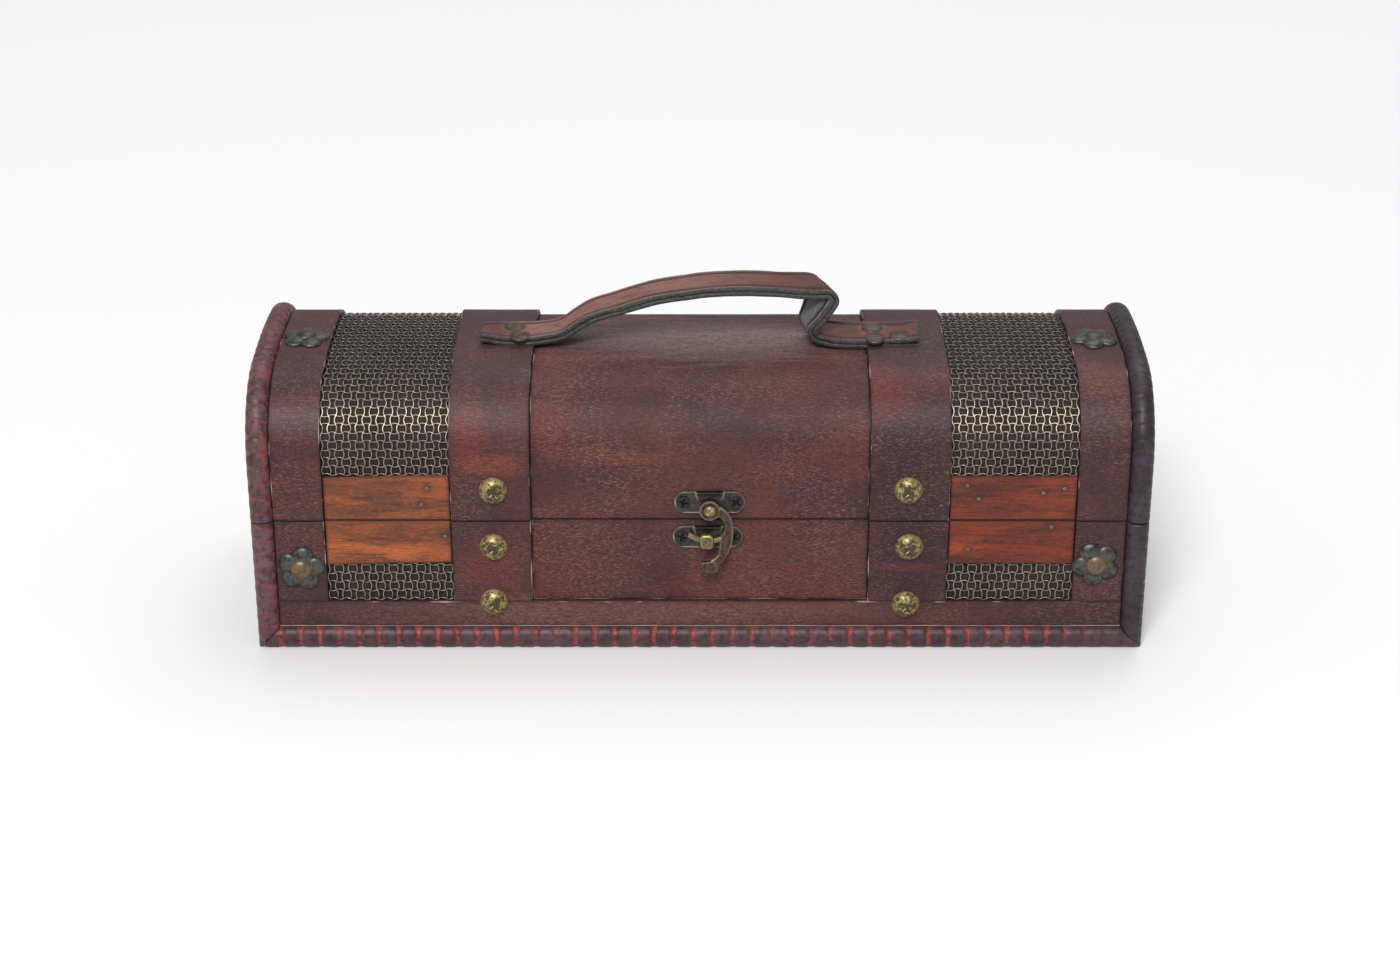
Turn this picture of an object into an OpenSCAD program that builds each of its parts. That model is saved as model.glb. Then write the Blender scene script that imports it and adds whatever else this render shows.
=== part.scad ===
// Wooden wine box with a rounded lid, wrapped in bands, mesh strips and slats.
// X runs along the length, -Y is the front, +Z is up. The origin is the middle of the underside.

/* [Box] */
// Length over the end mouldings
box_length = 356; // [320:1:400]
// Depth over the wooden bands, front to back
box_depth = 112; // [104:1:124]
// Height of the bands at the middle of the lid
box_height = 113; // [105:1:125]
// Height of the seam between base and lid
seam_height = 56; // [52:1:62]
// Gap at the seam when the lid is shut
seam_gap = 0.4; // [0.3:0.1:0.8]
// Radius of the lid's shoulders, over the bands
shoulder_radius = 31; // [26:1:36]
// Rise of the lid's middle above its shoulders
crown_rise = 1.3; // [0.8:0.1:3]

/* [Carcass] */
// Thickness of the front and back boards and of the lid's shell
board_t = 5; // [4:0.5:7]
// Thickness of the end boards
end_board_t = 6; // [4:0.5:8]
// Thickness of the floor board
floor_t = 5; // [4:0.5:8]
// How far the end mouldings stand out past the end boards
end_reveal = 0.6; // [0.2:0.1:1.5]

/* [Facing] */
// Thickness of the bands and rails, from the boards to their face
band_t = 3; // [2.6:0.1:4]
// Thickness of the middle panels
panel_t = 1; // [0.6:0.1:1.6]
// Thickness of the wire mesh with its dark backing
mesh_t = 1.8; // [1.2:0.1:2.4]
// Thickness of the slats
slat_t = 2; // [1.4:0.1:2.5]
// Width of the middle panels
panel_w = 133.6; // [110:0.2:150]
// Width of the bands beside the panels
band_w = 31.8; // [28:0.2:36]
// Width of the bands beside the end mouldings
end_band_w = 20.2; // [18:0.2:23]
// Height of the rail above the bottom moulding
rail_h = 11.3; // [8:0.1:13]
// Height of the slats on the base
base_slat_h = 19; // [15:0.5:22]
// Height of the slats on the lid
lid_slat_h = 19; // [14:0.5:22]

/* [Moulding] */
// Width of the half-round moulding
moulding_w = 9.1; // [7:0.1:11]
// Height of the moulding's crest above the boards
moulding_h = 6; // [5:0.1:6]
// Height of the moulding's straight sides
moulding_side = 2; // [1:0.1:3]

/* [Dome tacks] */
// Diameter of a dome tack's head
tack_d = 12; // [9:0.1:14]
// Height of a dome tack's head
tack_h = 4; // [3:0.1:5]
// Diameter of the tack and nail shanks
shank_d = 2; // [1.4:0.1:2.6]
// Height of the lid's tacks above the seam
lid_tack_z = 14; // [9:0.5:18]
// Depth of the base's upper tacks below the seam
base_tack_z = 10.5; // [8:0.5:14]

/* [Rosettes] */
// Diameter of a rosette over its petals
rosette_d = 19.5; // [16:0.1:20]
// Diameter of one petal
petal_d = 8.4; // [6:0.1:9]
// Height of a petal
petal_h = 1.7; // [1:0.1:2.5]
// Diameter of the nail head in a rosette's middle
rosette_nail_d = 8.8; // [6:0.1:10]
// Height of the nail head
rosette_nail_h = 2.6; // [1.5:0.1:3.5]
// Depth of the base's rosettes below the seam
base_rosette_z = 20; // [14:0.5:24]
// How far the lid's rosettes lie in front of the ridge
lid_rosette_y = 7.5; // [0:0.5:14]

/* [Slat brads] */
// Diameter of a brad's head
brad_d = 1.6; // [1:0.1:2.2]
// Height of a brad's head
brad_h = 0.3; // [0.2:0.1:0.6]
// Diameter of a brad's shank
brad_shank_d = 0.8; // [0.6:0.1:1]

/* [Handle] */
// Width of the strap
strap_w = 16.5; // [12:0.5:20]
// Thickness of each of the strap's two layers
strap_layer_t = 1.8; // [1.2:0.1:2]
// How far the strap's ends lie on the bands, past the edges of the panel
strap_lap = 21.2; // [18:0.2:27]
// Length of the left tab before it starts to rise
left_tab = 29; // [24:0.5:32]
// Length of the straight rise on the left
rise_run = 16.5; // [10:0.5:20]
// Angle of the rise
rise_angle = 30; // [24:1:36]
// Radius of the bend at the foot of the rise
foot_radius = 14; // [8:1:20]
// Radius of the shoulder that leads from the rise into the grip
shoulder_bend = 72; // [50:1:90]
// Angle at which the grip starts
grip_angle = 4; // [1:1:8]
// Angle through which the grip bows
grip_sweep = 12; // [8:1:16]
// Radius of the grip's bow
grip_radius = 260; // [200:5:320]
// Radius of the upper fold on the right
fold_radius = 4.5; // [3.5:0.5:8]
// Radius of the lower fold on the right
lower_fold_radius = 2.8; // [2.5:0.1:5]
// Slope of the leg between the two folds
leg_slope = 55; // [45:1:75]
// Diameter of a rivet's head
rivet_d = 8; // [5:0.5:9]
// Height of a rivet's head
rivet_h = 2; // [1:0.1:3]

/* [Clasp] */
// Place of the hook's pivot to the right of the middle
pivot_x = 3.85; // [-6:0.05:10]
// Height of the pivot above the seam
pivot_rise = 5.5; // [5:0.1:8]
// Length of the upper plate
upper_plate_l = 28.1; // [24:0.1:32]
// Length of the lower plate
lower_plate_l = 27.9; // [24:0.1:32]
// Height of the plates
plate_h = 9.4; // [8:0.1:9.6]
// Width of the plates' raised middles
plate_boss_w = 8.1; // [6:0.1:10]
// Thickness of the plates
plate_t = 1.2; // [0.8:0.1:1.6]
// Height of the raised middles above the plates
plate_boss_t = 0.9; // [0.9:0.1:1.4]
// Distance from a plate's ends to its screws
screw_inset = 3.7; // [3:0.1:4.4]
// Diameter of the screw heads
screw_d = 4.8; // [3.4:0.1:6]
// Height of the screw heads
screw_h = 0.9; // [0.5:0.1:0.9]
// Thickness of the hook
hook_t = 2; // [1.6:0.1:2.4]
// Diameter of the hook's eye
eye_d = 8.4; // [7:0.1:9]
// Diameter of the pivot's shank
pivot_d = 2.4; // [1.8:0.1:3]
// Width of the hook's arm
arm_w = 3.6; // [3:0.1:4]
// Radius of the arm's curve
arm_radius = 14.3; // [14:0.1:15]
// Width of the hook's tongue
tongue_w = 1.8; // [1.4:0.1:2]
// Radius of the tongue's curve
tongue_radius = 14.4; // [14:0.1:14.6]
// Radius of the thumb tab
tab_r = 3.5; // [3:0.1:4.2]
// Width of the knob's head
knob_w = 5.1; // [4:0.1:5.4]
// Height of the knob's head
knob_h = 5.5; // [4.5:0.1:5.8]
// Thickness of the knob's head, front to back
knob_t = 2.8; // [2:0.1:3.2]
// Diameter of the knob's neck
neck_d = 1.4; // [1:0.1:1.4]

/* [Hinges] */
// Length of a hinge along the seam
hinge_w = 22; // [18:0.5:26]
// Height of a hinge leaf
leaf_h = 11; // [9:0.5:14]
// Thickness of a hinge leaf
leaf_t = 1; // [0.8:0.1:1.4]
// Radius of the hinge barrel
barrel_r = 2.8; // [2.4:0.1:3.2]
// Diameter of the hinge pin
pin_d = 2; // [1.4:0.1:2.4]
// Distance between the two screws of a leaf
hinge_screw_gap = 13; // [10:0.5:16]

/* [Clearances] */
// Clearance around shanks, pins and posts
fit_gap = 0.05; // [0.02:0.01:0.08]
// Gap between parts that pass each other
pass_gap = 0.3; // [0.2:0.05:0.5]

/* [Hidden] */
$fn = 64;

// Colours
board_colour = [0.36, 0.22, 0.17];
panel_colour = [0.44, 0.24, 0.22];
band_colour = [0.40, 0.18, 0.16];
slat_colour = [0.66, 0.31, 0.12];
moulding_colour = [0.32, 0.12, 0.12];
mesh_colour = [0.42, 0.38, 0.28];
brass_colour = [0.60, 0.52, 0.30];
iron_colour = [0.26, 0.24, 0.22];
leather_colour = [0.48, 0.28, 0.24];
suede_colour = [0.26, 0.26, 0.22];

// Section of the lid: straight walls, round shoulders and a slightly crowned top
half_length = box_length / 2;
half_depth = box_depth / 2;
shoulder_y = half_depth - shoulder_radius;
spring_z = box_height - crown_rise - shoulder_radius;
// The crown cuts this far into the shoulders' rounds, so that the arcs cross instead of touching
crown_lap = 0.05;
lapped_radius = shoulder_radius - crown_lap;
lapped_rise = crown_rise + crown_lap;
crown_radius = lapped_radius + (pow(shoulder_y, 2) + pow(lapped_rise, 2)) / (2 * lapped_rise);
crown_z = box_height - crown_radius;
crown_angle = asin(shoulder_y / (crown_radius - lapped_radius));
base_top = seam_height - seam_gap / 2;
lid_bottom = seam_height + seam_gap / 2;
cut_margin = 1;

// Outline round the boards over the lid, from the front seam to the back: [y, z, angle of the normal]
shoulder_steps = 14;
crown_steps = 8;
function rim_points(y, z, r, a0, a1, n) = [for (i = [0:n - 1])
    let (step = (a1 - a0) / n, a = a0 + (i + 0.5) * step, reach = r / cos(step / 2))
        [y + reach * cos(a), z + reach * sin(a), a]];
lid_outline = concat([[band_t - half_depth, lid_bottom, 180]],
    rim_points(-shoulder_y, spring_z, shoulder_radius - band_t, 180, 90 + crown_angle, shoulder_steps),
    rim_points(0, crown_z, crown_radius - band_t, 90 + crown_angle, 90 - crown_angle, crown_steps),
    rim_points(shoulder_y, spring_z, shoulder_radius - band_t, 90 - crown_angle, 0, shoulder_steps),
    [[half_depth - band_t, lid_bottom, 0]]);

// Half-round moulding: radius of its crest, and its outline as [height off the board, across]
moulding_rise = moulding_h - moulding_side;
moulding_r = (pow(moulding_w / 2, 2) + pow(moulding_rise, 2)) / (2 * moulding_rise);
crest_half_angle = asin(moulding_w / 2 / moulding_r);
crest_steps = 10;
moulding_outline = concat([[0, -moulding_w / 2]],
    [for (i = [0:crest_steps]) let (a = crest_half_angle * (2 * i / crest_steps - 1))
        [moulding_h - moulding_r + moulding_r * cos(a), moulding_r * sin(a)]],
    [[0, moulding_w / 2]]);

// Depths below the face of the bands
board_inset = band_t;
inner_inset = band_t + board_t;
panel_inset = band_t - panel_t;
mesh_inset = band_t - mesh_t;
slat_inset = band_t - slat_t;

// Places along the length, from the middle outwards
panel_x = panel_w / 2;
band_x = panel_x + band_w;
moulding_x = half_length - moulding_w;
end_band_x = moulding_x - end_band_w;
end_face_x = half_length - end_reveal;
end_inner_x = end_face_x - end_board_t;
band_mid_x = panel_x + band_w / 2;
end_band_mid_x = end_band_x + end_band_w / 2;

// Heights of the facing on the base and the lid
rail_top = moulding_w + rail_h;
base_slat_z = base_top - base_slat_h;
lid_slat_top = lid_bottom + lid_slat_h;

// Fasteners
shank_l = band_t + board_t - 1;
base_tacks = [for (x = [-band_mid_x, band_mid_x], z = [seam_height - base_tack_z, rail_top]) [x, z]];
lid_tacks = [for (x = [-band_mid_x, band_mid_x]) [x, seam_height + lid_tack_z]];
rosette_mid_r = (rosette_d - petal_d) / 2;
petals = 5;
rosette_xs = [-end_band_mid_x, end_band_mid_x];
base_rosette_at = [for (x = rosette_xs) [x, seam_height - base_rosette_z]];
lid_rosette_tilt = asin(lid_rosette_y / crown_radius);
// Brads as found on the slats: side, distance along the slat, height off the seam. The distance is
// outwards from the slat's inner end, or inwards from its outer end where it is negative.
lid_brads = [[-1, 9, 13.7], [-1, 11.5, 6.7], [1, 6.6, 15], [1, 11.2, 9.3], [1, -13.4, 11.9], [1, -5.1, 13.7]];
base_brads = [[-1, 2.5, 6.7], [1, -9.5, 2.6], [1, 7.8, 12.6]];
function brad_x(b) = b[0] * (b[1] + (b[1] > 0 ? band_x : end_band_x));
lid_brad_at = [for (b = lid_brads) [brad_x(b), seam_height + b[2]]];
base_brad_at = [for (b = base_brads) [brad_x(b), seam_height - b[2]]];

// Strap path in the X-Z plane, along the face between the two layers
strap_t = 2 * strap_layer_t;
strap_reach = panel_x + strap_lap;
strap_z = box_height + strap_layer_t;
step_angle = 4;
fold_angle = 180 - leg_slope + grip_angle - grip_sweep;

// Points of a bend from p with heading h, turning by a on radius r: each is [x, z, heading]
function bend(p, r, a) = [let (s = sign(a), n = max(2, ceil(abs(a) / step_angle)))
    for (k = [1:n]) let (h = p[2] + a * k / n)
        [p[0] + s * r * (sin(h) - sin(p[2])), p[1] - s * r * (cos(h) - cos(p[2])), h]];
function run(p, l) = [p[0] + l * cos(p[2]), p[1] + l * sin(p[2]), p[2]];
function last(list) = list[len(list) - 1];

strap_start = [-strap_reach, strap_z, 0];
tab_end = run(strap_start, left_tab);
foot = bend(tab_end, foot_radius, rise_angle);
rise_end = run(last(foot), rise_run);
arch = bend(rise_end, shoulder_bend, grip_angle - rise_angle);
grip = bend(last(arch), grip_radius, -grip_sweep);
upper_fold = bend(last(grip), fold_radius, -fold_angle);
lower_fold_drop = lower_fold_radius * (1 - cos(180 - leg_slope));
leg_l = (last(upper_fold)[1] - strap_z - lower_fold_drop) / sin(leg_slope);
leg_end = run(last(upper_fold), leg_l);
lower_fold = bend(leg_end, lower_fold_radius, 180 - leg_slope);
strap_end = [strap_reach, strap_z, 0];
strap_path = concat([strap_start, tab_end], foot, [rise_end], arch, grip, upper_fold, [leg_end],
    lower_fold, [strap_end]);
function shifted(path, d) = [for (p = path) [p[0] - d * sin(p[2]), p[1] + d * cos(p[2])]];
function reversed(list) = [for (i = [len(list) - 1:-1:0]) list[i]];

// Rivets through the strap: two side by side on the left, two side by side and one behind on the right,
// each set a distance in from the strap's end
rivet_y = 4.3;
left_rivet_inset = 14;
right_rivet_inset = 17.5;
outer_rivet_inset = 8;
left_rivet_x = left_rivet_inset - strap_reach;
right_rivet_x = strap_reach - right_rivet_inset;
outer_rivet_x = strap_reach - outer_rivet_inset;
rivet_at = [[left_rivet_x, -rivet_y], [left_rivet_x, rivet_y], [right_rivet_x, -rivet_y],
    [right_rivet_x, rivet_y], [outer_rivet_x, 0]];
rivet_shank_l = strap_t + band_t + board_t - 1;

// Clasp, measured from the pivot in the plane of the front
pivot_z = seam_height + pivot_rise;
panel_y = half_depth - panel_inset;
plate_y = panel_y + plate_t;
boss_y = plate_y + plate_boss_t;
hook_y = boss_y + pass_gap;
hook_face_y = hook_y + hook_t;
knob_back_y = hook_face_y + 2 * pass_gap;
knob_face_y = knob_back_y + knob_t;
tab_y = knob_face_y + 1.5 * pass_gap;
tab_t = 1.8;
upper_plate_rise = 2.3;
lower_plate_left = 0.75;
lower_plate_drop = 12.8;
upper_plate_at = [pivot_x, pivot_z + upper_plate_rise];
lower_plate_at = [pivot_x - lower_plate_left, pivot_z - lower_plate_drop];
upper_screw_reach = upper_plate_l / 2 - screw_inset;
lower_screw_reach = lower_plate_l / 2 - screw_inset;
upper_screws = [for (s = [-1, 1]) upper_plate_at + [s * upper_screw_reach, 0]];
lower_screws = [for (s = [-1, 1]) lower_plate_at + [s * lower_screw_reach, 0]];
knob_left = 1.25;
knob_drop = 14.1;
neck_drop = 16.25;
knob_at = [pivot_x - knob_left, pivot_z - knob_drop];
neck_at = [knob_at[0], pivot_z - neck_drop];
knob_corner_r = 1.2;
arm_centre_left = 7.05;
arm_centre_drop = 11.3;
arm_centre = [pivot_x - arm_centre_left, pivot_z - arm_centre_drop];
tongue_centre_left = 0.55;
tongue_centre_rise = 0.25;
tongue_centre = [pivot_x - tongue_centre_left, pivot_z + tongue_centre_rise];
tab_drop = 25.3;
tab_at = [pivot_x, pivot_z - tab_drop];
arm_start = 52;
arm_end = -42;
ramp_steps = [0, -14, -28, arm_end];
ramp_lift = tab_y - hook_y;
tongue_start = -60;
tongue_tip = -123;
rivet_head_d = 4.6;
rivet_head_h = 1.4;
post_l = 8;
screw_shank_d = 2;

// Hinges on the back of the middle bands, with the axis just outside the mouldings' crest
barrel_y = half_depth + max(barrel_r + pass_gap, moulding_h - band_t + 0.1);
knuckle_gap = 0.2;
knuckle_l = (hinge_w - 2 * knuckle_gap) / 3;
hinge_screw_z = leaf_h - 4;
hinge_screw_d = 3.6;
hinge_screw_h = 0.8;
hinge_xs = [-band_mid_x, band_mid_x];
hinge_screw_xs = [for (x = hinge_xs, s = [-1, 1]) x + s * hinge_screw_gap / 2];
hinge_shank_l = band_t + board_t - 1 + leaf_t;

// Helpers

module along_x(x0, x1) {
    translate([x0, 0, 0]) rotate([90, 0, 90]) linear_extrude(x1 - x0) children();
}

// Outline of the whole box in the Y-Z plane, a given depth below the face of the bands
module section(inset) {
    half = half_depth - inset;
    wedge_top = box_height + cut_margin;
    wedge_y = tan(crown_angle) * (wedge_top - crown_z);
    intersection() {
        translate([0, crown_z]) circle(r = crown_radius - inset, $fn = 360);
        union() {
            translate([-half, 0]) square([2 * half, spring_z]);
            for (side = [-1, 1])
                translate([side * shoulder_y, spring_z]) circle(r = shoulder_radius - inset);
            polygon([[-shoulder_y, spring_z], [shoulder_y, spring_z], [wedge_y, wedge_top],
                [-wedge_y, wedge_top]]);
        }
    }
}

// Curved layer of the lid between two depths, above a given height
module lid_layer(x0, x1, face_inset, back_inset, z0) {
    along_x(x0, x1) difference() {
        section(face_inset);
        section(back_inset);
        translate([-box_depth, -cut_margin]) square([2 * box_depth, z0 + cut_margin]);
    }
}

// Flat piece on the front (side -1) or the back (side 1), between two depths
module face_block(side, x0, x1, z0, z1, face_inset, back_inset) {
    y0 = side > 0 ? half_depth - back_inset : face_inset - half_depth;
    translate([x0, y0, z0]) cube([x1 - x0, back_inset - face_inset, z1 - z0]);
}

// Children placed on the face of the front, pointing outwards, and a bore that follows them inwards
module on_front(points, y) {
    for (p = points) translate([p[0], -y, p[1]]) rotate([90, 0, 0]) children();
}

module front_bores(points, d, reach = box_depth / 2) {
    for (p = points)
        translate([p[0], -half_depth - cut_margin, p[1]]) rotate([-90, 0, 0])
            cylinder(d = d + 2 * fit_gap, h = cut_margin + reach);
}

module on_back(xs, z, y) {
    for (x = xs) translate([x, y, z]) rotate([-90, 0, 0]) children();
}

module back_bores(xs, z, d) {
    for (x = xs)
        translate([x, half_depth + leaf_t + cut_margin, z]) rotate([90, 0, 0])
            cylinder(d = d + 2 * fit_gap, h = cut_margin + hinge_shank_l);
}

// Spherical cap that stands on z = 0
module cap(d, h) {
    r = (pow(d / 2, 2) + pow(h, 2)) / (2 * h);
    intersection() {
        translate([0, 0, h - r]) sphere(r = r);
        translate([-d, -d, 0]) cube([2 * d, 2 * d, 2 * h]);
    }
}

// Headed fastener: the head stands up from z = 0 and the shank goes down
module fastener(head_d, head_h, shaft_d, shaft_l) {
    cap(head_d, head_h);
    translate([0, 0, -shaft_l]) cylinder(d = shaft_d, h = shaft_l + head_h / 4);
}

// Section of the half-round moulding: x is the height off the board, y runs across the width
module moulding_profile() {
    intersection() {
        translate([moulding_h - moulding_r, 0]) circle(r = moulding_r);
        translate([moulding_side, -moulding_w]) square([moulding_h, 2 * moulding_w]);
    }
    translate([0, -moulding_w / 2]) square([moulding_side, moulding_w]);
}

// Straight upright length of moulding on the front or back
module moulding_post(x, side, z0, z1) {
    translate([x, side * (half_depth - board_inset), z0])
        linear_extrude(z1 - z0) rotate(side * 90) moulding_profile();
}

// Region above (keep = 1) or below (keep = -1) the mitre line at one end of the bottom moulding
module mitre_side(side_x, keep) {
    far = 2 * moulding_w;
    outer = side_x * (half_length + far);
    inner = side_x * (half_length - far);
    line = [[outer, -far], [inner, far]];
    corner = keep > 0 ? [outer, box_height] : [inner, -far];
    extra = keep > 0 ? [[inner, box_height]] : [];
    translate([0, box_depth, 0]) rotate([90, 0, 0]) linear_extrude(2 * box_depth)
        polygon(concat(line, extra, [corner]));
}

module corner_moulding(side_x, side_y) {
    intersection() {
        moulding_post(side_x * (half_length - moulding_w / 2), side_y, 0, base_top);
        mitre_side(side_x, 1);
    }
}

module bottom_moulding(side) {
    difference() {
        translate([-half_length, side * (half_depth - board_inset), moulding_w / 2])
            rotate([0, 90, 0]) linear_extrude(box_length) rotate(side * 90) moulding_profile();
        for (side_x = [-1, 1]) mitre_side(side_x, 1);
    }
}

// Moulding over the end of the lid: up the front, over the shoulders and crown, and down the back
module arch_moulding(side_x) {
    x = side_x * (half_length - moulding_w / 2);
    n = len(moulding_outline);
    rings = len(lid_outline);
    points = [for (p = lid_outline, q = moulding_outline)
        [x + q[1], p[0] + q[0] * cos(p[2]), p[1] + q[0] * sin(p[2])]];
    sides = [for (i = [0:rings - 2], k = [0:n - 1])
        let (a = i * n + k, b = i * n + (k + 1) % n) [a, b, b + n, a + n]];
    front_end = [for (k = [n - 1:-1:0]) k];
    back_end = [for (k = [0:n - 1]) (rings - 1) * n + k];
    polyhedron(points, concat(sides, [front_end, back_end]));
}

// Rosette that stands on z = 0, with a bore for its nail
module rosette() {
    difference() {
        union() {
            for (i = [0:petals - 1])
                rotate(90 + i * 360 / petals) translate([rosette_mid_r, 0, 0]) cap(petal_d, petal_h);
            cylinder(r = rosette_mid_r, h = petal_h / 2);
        }
        translate([0, 0, -cut_margin]) cylinder(d = shank_d + 2 * fit_gap, h = petal_h + 2 * cut_margin);
        translate([0, 0, petal_h / 2]) cylinder(d = rosette_nail_d + 2 * fit_gap, h = petal_h);
    }
}

module rosette_nail() {
    translate([0, 0, petal_h / 2]) fastener(rosette_nail_d, rosette_nail_h, shank_d, shank_l + petal_h / 2);
}

// Children placed on the crown of the lid at the rosettes, pointing outwards
module on_crown() {
    for (x = rosette_xs)
        translate([x, 0, crown_z]) rotate([lid_rosette_tilt, 0, 0]) translate([0, 0, crown_radius])
            children();
}

module crown_bores() {
    on_crown() translate([0, 0, -shank_l - cut_margin])
        cylinder(d = shank_d + 2 * fit_gap, h = shank_l + 2 * cut_margin);
}

module rivet_bores() {
    for (p = rivet_at)
        translate([p[0], p[1], strap_z + strap_layer_t - rivet_shank_l - cut_margin])
            cylinder(d = shank_d + 2 * fit_gap, h = rivet_shank_l + 2 * cut_margin);
}

// Layer of the strap between two distances off its middle face
module strap_layer(d0, d1) {
    difference() {
        translate([0, strap_w / 2, 0]) rotate([90, 0, 0]) linear_extrude(strap_w)
            polygon(concat(shifted(strap_path, d0), reversed(shifted(strap_path, d1))));
        rivet_bores();
    }
}

module rounded_rect(w, h, r) {
    translate([-w / 2, r - h / 2]) square([w, h - 2 * r]);
    translate([r - w / 2, -h / 2]) square([w - 2 * r, h]);
    for (sx = [-1, 1], sy = [-1, 1])
        translate([sx * (w / 2 - r), sy * (h / 2 - r)]) circle(r = r);
}

// Flat shape drawn in X-Z, standing from y outwards by t
module outwards(y, t) {
    translate([0, -y, 0]) rotate([90, 0, 0]) linear_extrude(t) children();
}

module clasp_plate(at, length) {
    reach = (length - plate_h) / 2;
    outwards(panel_y, plate_t) translate(at) {
        for (s = [-1, 1]) translate([s * reach, 0]) circle(d = plate_h);
        translate([-reach, -plate_h / 2]) square([2 * reach, plate_h]);
    }
    outwards(panel_y, plate_t + plate_boss_t) translate(at)
        translate([-plate_boss_w / 2, -plate_h / 2]) square([plate_boss_w, plate_h]);
}

// Part of a ring between two angles
module arc_bar(r, w, a0, a1) {
    far = 2 * r;
    n = 8;
    intersection() {
        difference() {
            circle(r = r + w / 2);
            circle(r = r - w / 2);
        }
        polygon(concat([[0, 0]], [for (i = [0:n]) let (a = a0 + (a1 - a0) * i / n) far * [cos(a), sin(a)]]));
    }
}

function arm_point(a) = arm_centre + arm_radius * [cos(a), sin(a)];
function ramp_y(a) = hook_y + ramp_lift * a / arm_end;

module arm_disc(a) {
    outwards(ramp_y(a), tab_t) translate(arm_point(a)) circle(d = arm_w, $fn = 32);
}

// Hinge leaf with its knuckles: up is 1 on the lid and -1 on the base
module hinge_leaf(x, up) {
    edge = up > 0 ? lid_bottom : base_top;
    far_edge = seam_height + up * leaf_h;
    notch = barrel_r + pass_gap;
    own = up > 0 ? [0] : [-1, 1];
    other = up > 0 ? [-1, 1] : [0];
    pitch = knuckle_l + knuckle_gap;
    difference() {
        union() {
            translate([x - hinge_w / 2, half_depth, min(edge, far_edge)])
                cube([hinge_w, leaf_t, abs(far_edge - edge)]);
            for (k = own)
                translate([x + k * pitch - knuckle_l / 2, barrel_y, seam_height]) rotate([0, 90, 0])
                    cylinder(r = barrel_r, h = knuckle_l);
        }
        for (k = other)
            translate([x + k * pitch - knuckle_l / 2 - knuckle_gap, half_depth - cut_margin, seam_height - notch])
                cube([knuckle_l + 2 * knuckle_gap, leaf_t + 2 * cut_margin, 2 * notch]);
        translate([x - hinge_w, barrel_y, seam_height]) rotate([0, 90, 0])
            cylinder(d = pin_d + 2 * fit_gap, h = 2 * hinge_w);
        back_bores([x - hinge_screw_gap / 2, x + hinge_screw_gap / 2], seam_height + up * hinge_screw_z,
            shank_d);
    }
}

// Base: carcass

module base_floor() color(board_colour)
    translate([-end_inner_x, inner_inset - half_depth, 0])
        cube([2 * end_inner_x, box_depth - 2 * inner_inset, floor_t]);

module base_front_board() color(board_colour) difference() {
    face_block(-1, -end_inner_x, end_inner_x, 0, base_top, board_inset, inner_inset);
    front_bores(concat(base_tacks, base_rosette_at), shank_d);
    front_bores(base_brad_at, brad_shank_d);
    front_bores(lower_screws, screw_shank_d);
    front_bores([neck_at], neck_d);
}

module base_back_board() color(board_colour) difference() {
    face_block(1, -end_inner_x, end_inner_x, 0, base_top, board_inset, inner_inset);
    back_bores(hinge_screw_xs, seam_height - hinge_screw_z, shank_d);
}

module base_end(side) {
    translate([side > 0 ? end_inner_x : -end_face_x, board_inset - half_depth, 0])
        cube([end_board_t, box_depth - 2 * board_inset, base_top]);
}
module base_left_end() color(board_colour) base_end(-1);
module base_right_end() color(board_colour) base_end(1);

// Base: mouldings and rails

module base_front_moulding() color(moulding_colour) bottom_moulding(-1);
module base_back_moulding() color(moulding_colour) bottom_moulding(1);
module front_left_corner_moulding() color(moulding_colour) corner_moulding(-1, -1);
module front_right_corner_moulding() color(moulding_colour) corner_moulding(1, -1);
module back_corner_mouldings() color(moulding_colour)
    for (side_x = [-1, 1]) corner_moulding(side_x, 1);

module base_rail(side) {
    face_block(side, -moulding_x, moulding_x, moulding_w, rail_top, 0, board_inset);
}
module base_front_rail() color(band_colour) difference() {
    base_rail(-1);
    front_bores(base_tacks, shank_d);
}
module base_back_rail() color(band_colour) base_rail(1);

// Base: panels, bands, slats and meshes

module base_front_panel() color(panel_colour) difference() {
    face_block(-1, -panel_x, panel_x, rail_top, base_top, panel_inset, board_inset);
    front_bores(lower_screws, screw_shank_d);
    front_bores([neck_at], neck_d);
}
module base_back_panel() color(panel_colour)
    face_block(1, -panel_x, panel_x, rail_top, base_top, panel_inset, board_inset);

// The same strip on the left and the right, between two distances from the middle
module base_pair(side, x0, x1, z0, z1, inset) {
    face_block(side, -x1, -x0, z0, z1, inset, board_inset);
    face_block(side, x0, x1, z0, z1, inset, board_inset);
}
module base_front_bands() color(band_colour) difference() {
    base_pair(-1, panel_x, band_x, rail_top, base_top, 0);
    front_bores(base_tacks, shank_d);
}
module base_back_bands() color(band_colour) difference() {
    base_pair(1, panel_x, band_x, rail_top, base_top, 0);
    back_bores(hinge_screw_xs, seam_height - hinge_screw_z, shank_d);
}
module base_front_end_bands() color(band_colour) difference() {
    base_pair(-1, end_band_x, moulding_x, rail_top, base_top, 0);
    front_bores(base_rosette_at, shank_d);
}
module base_back_end_bands() color(band_colour)
    base_pair(1, end_band_x, moulding_x, rail_top, base_top, 0);
module base_front_slats() color(slat_colour) difference() {
    base_pair(-1, band_x, end_band_x, base_slat_z, base_top, slat_inset);
    front_bores(base_brad_at, brad_shank_d);
}
module base_back_slats() color(slat_colour)
    base_pair(1, band_x, end_band_x, base_slat_z, base_top, slat_inset);
module base_front_meshes() color(mesh_colour)
    base_pair(-1, band_x, end_band_x, rail_top, base_slat_z, mesh_inset);
module base_back_meshes() color(mesh_colour)
    base_pair(1, band_x, end_band_x, rail_top, base_slat_z, mesh_inset);

// Base: fasteners

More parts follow.
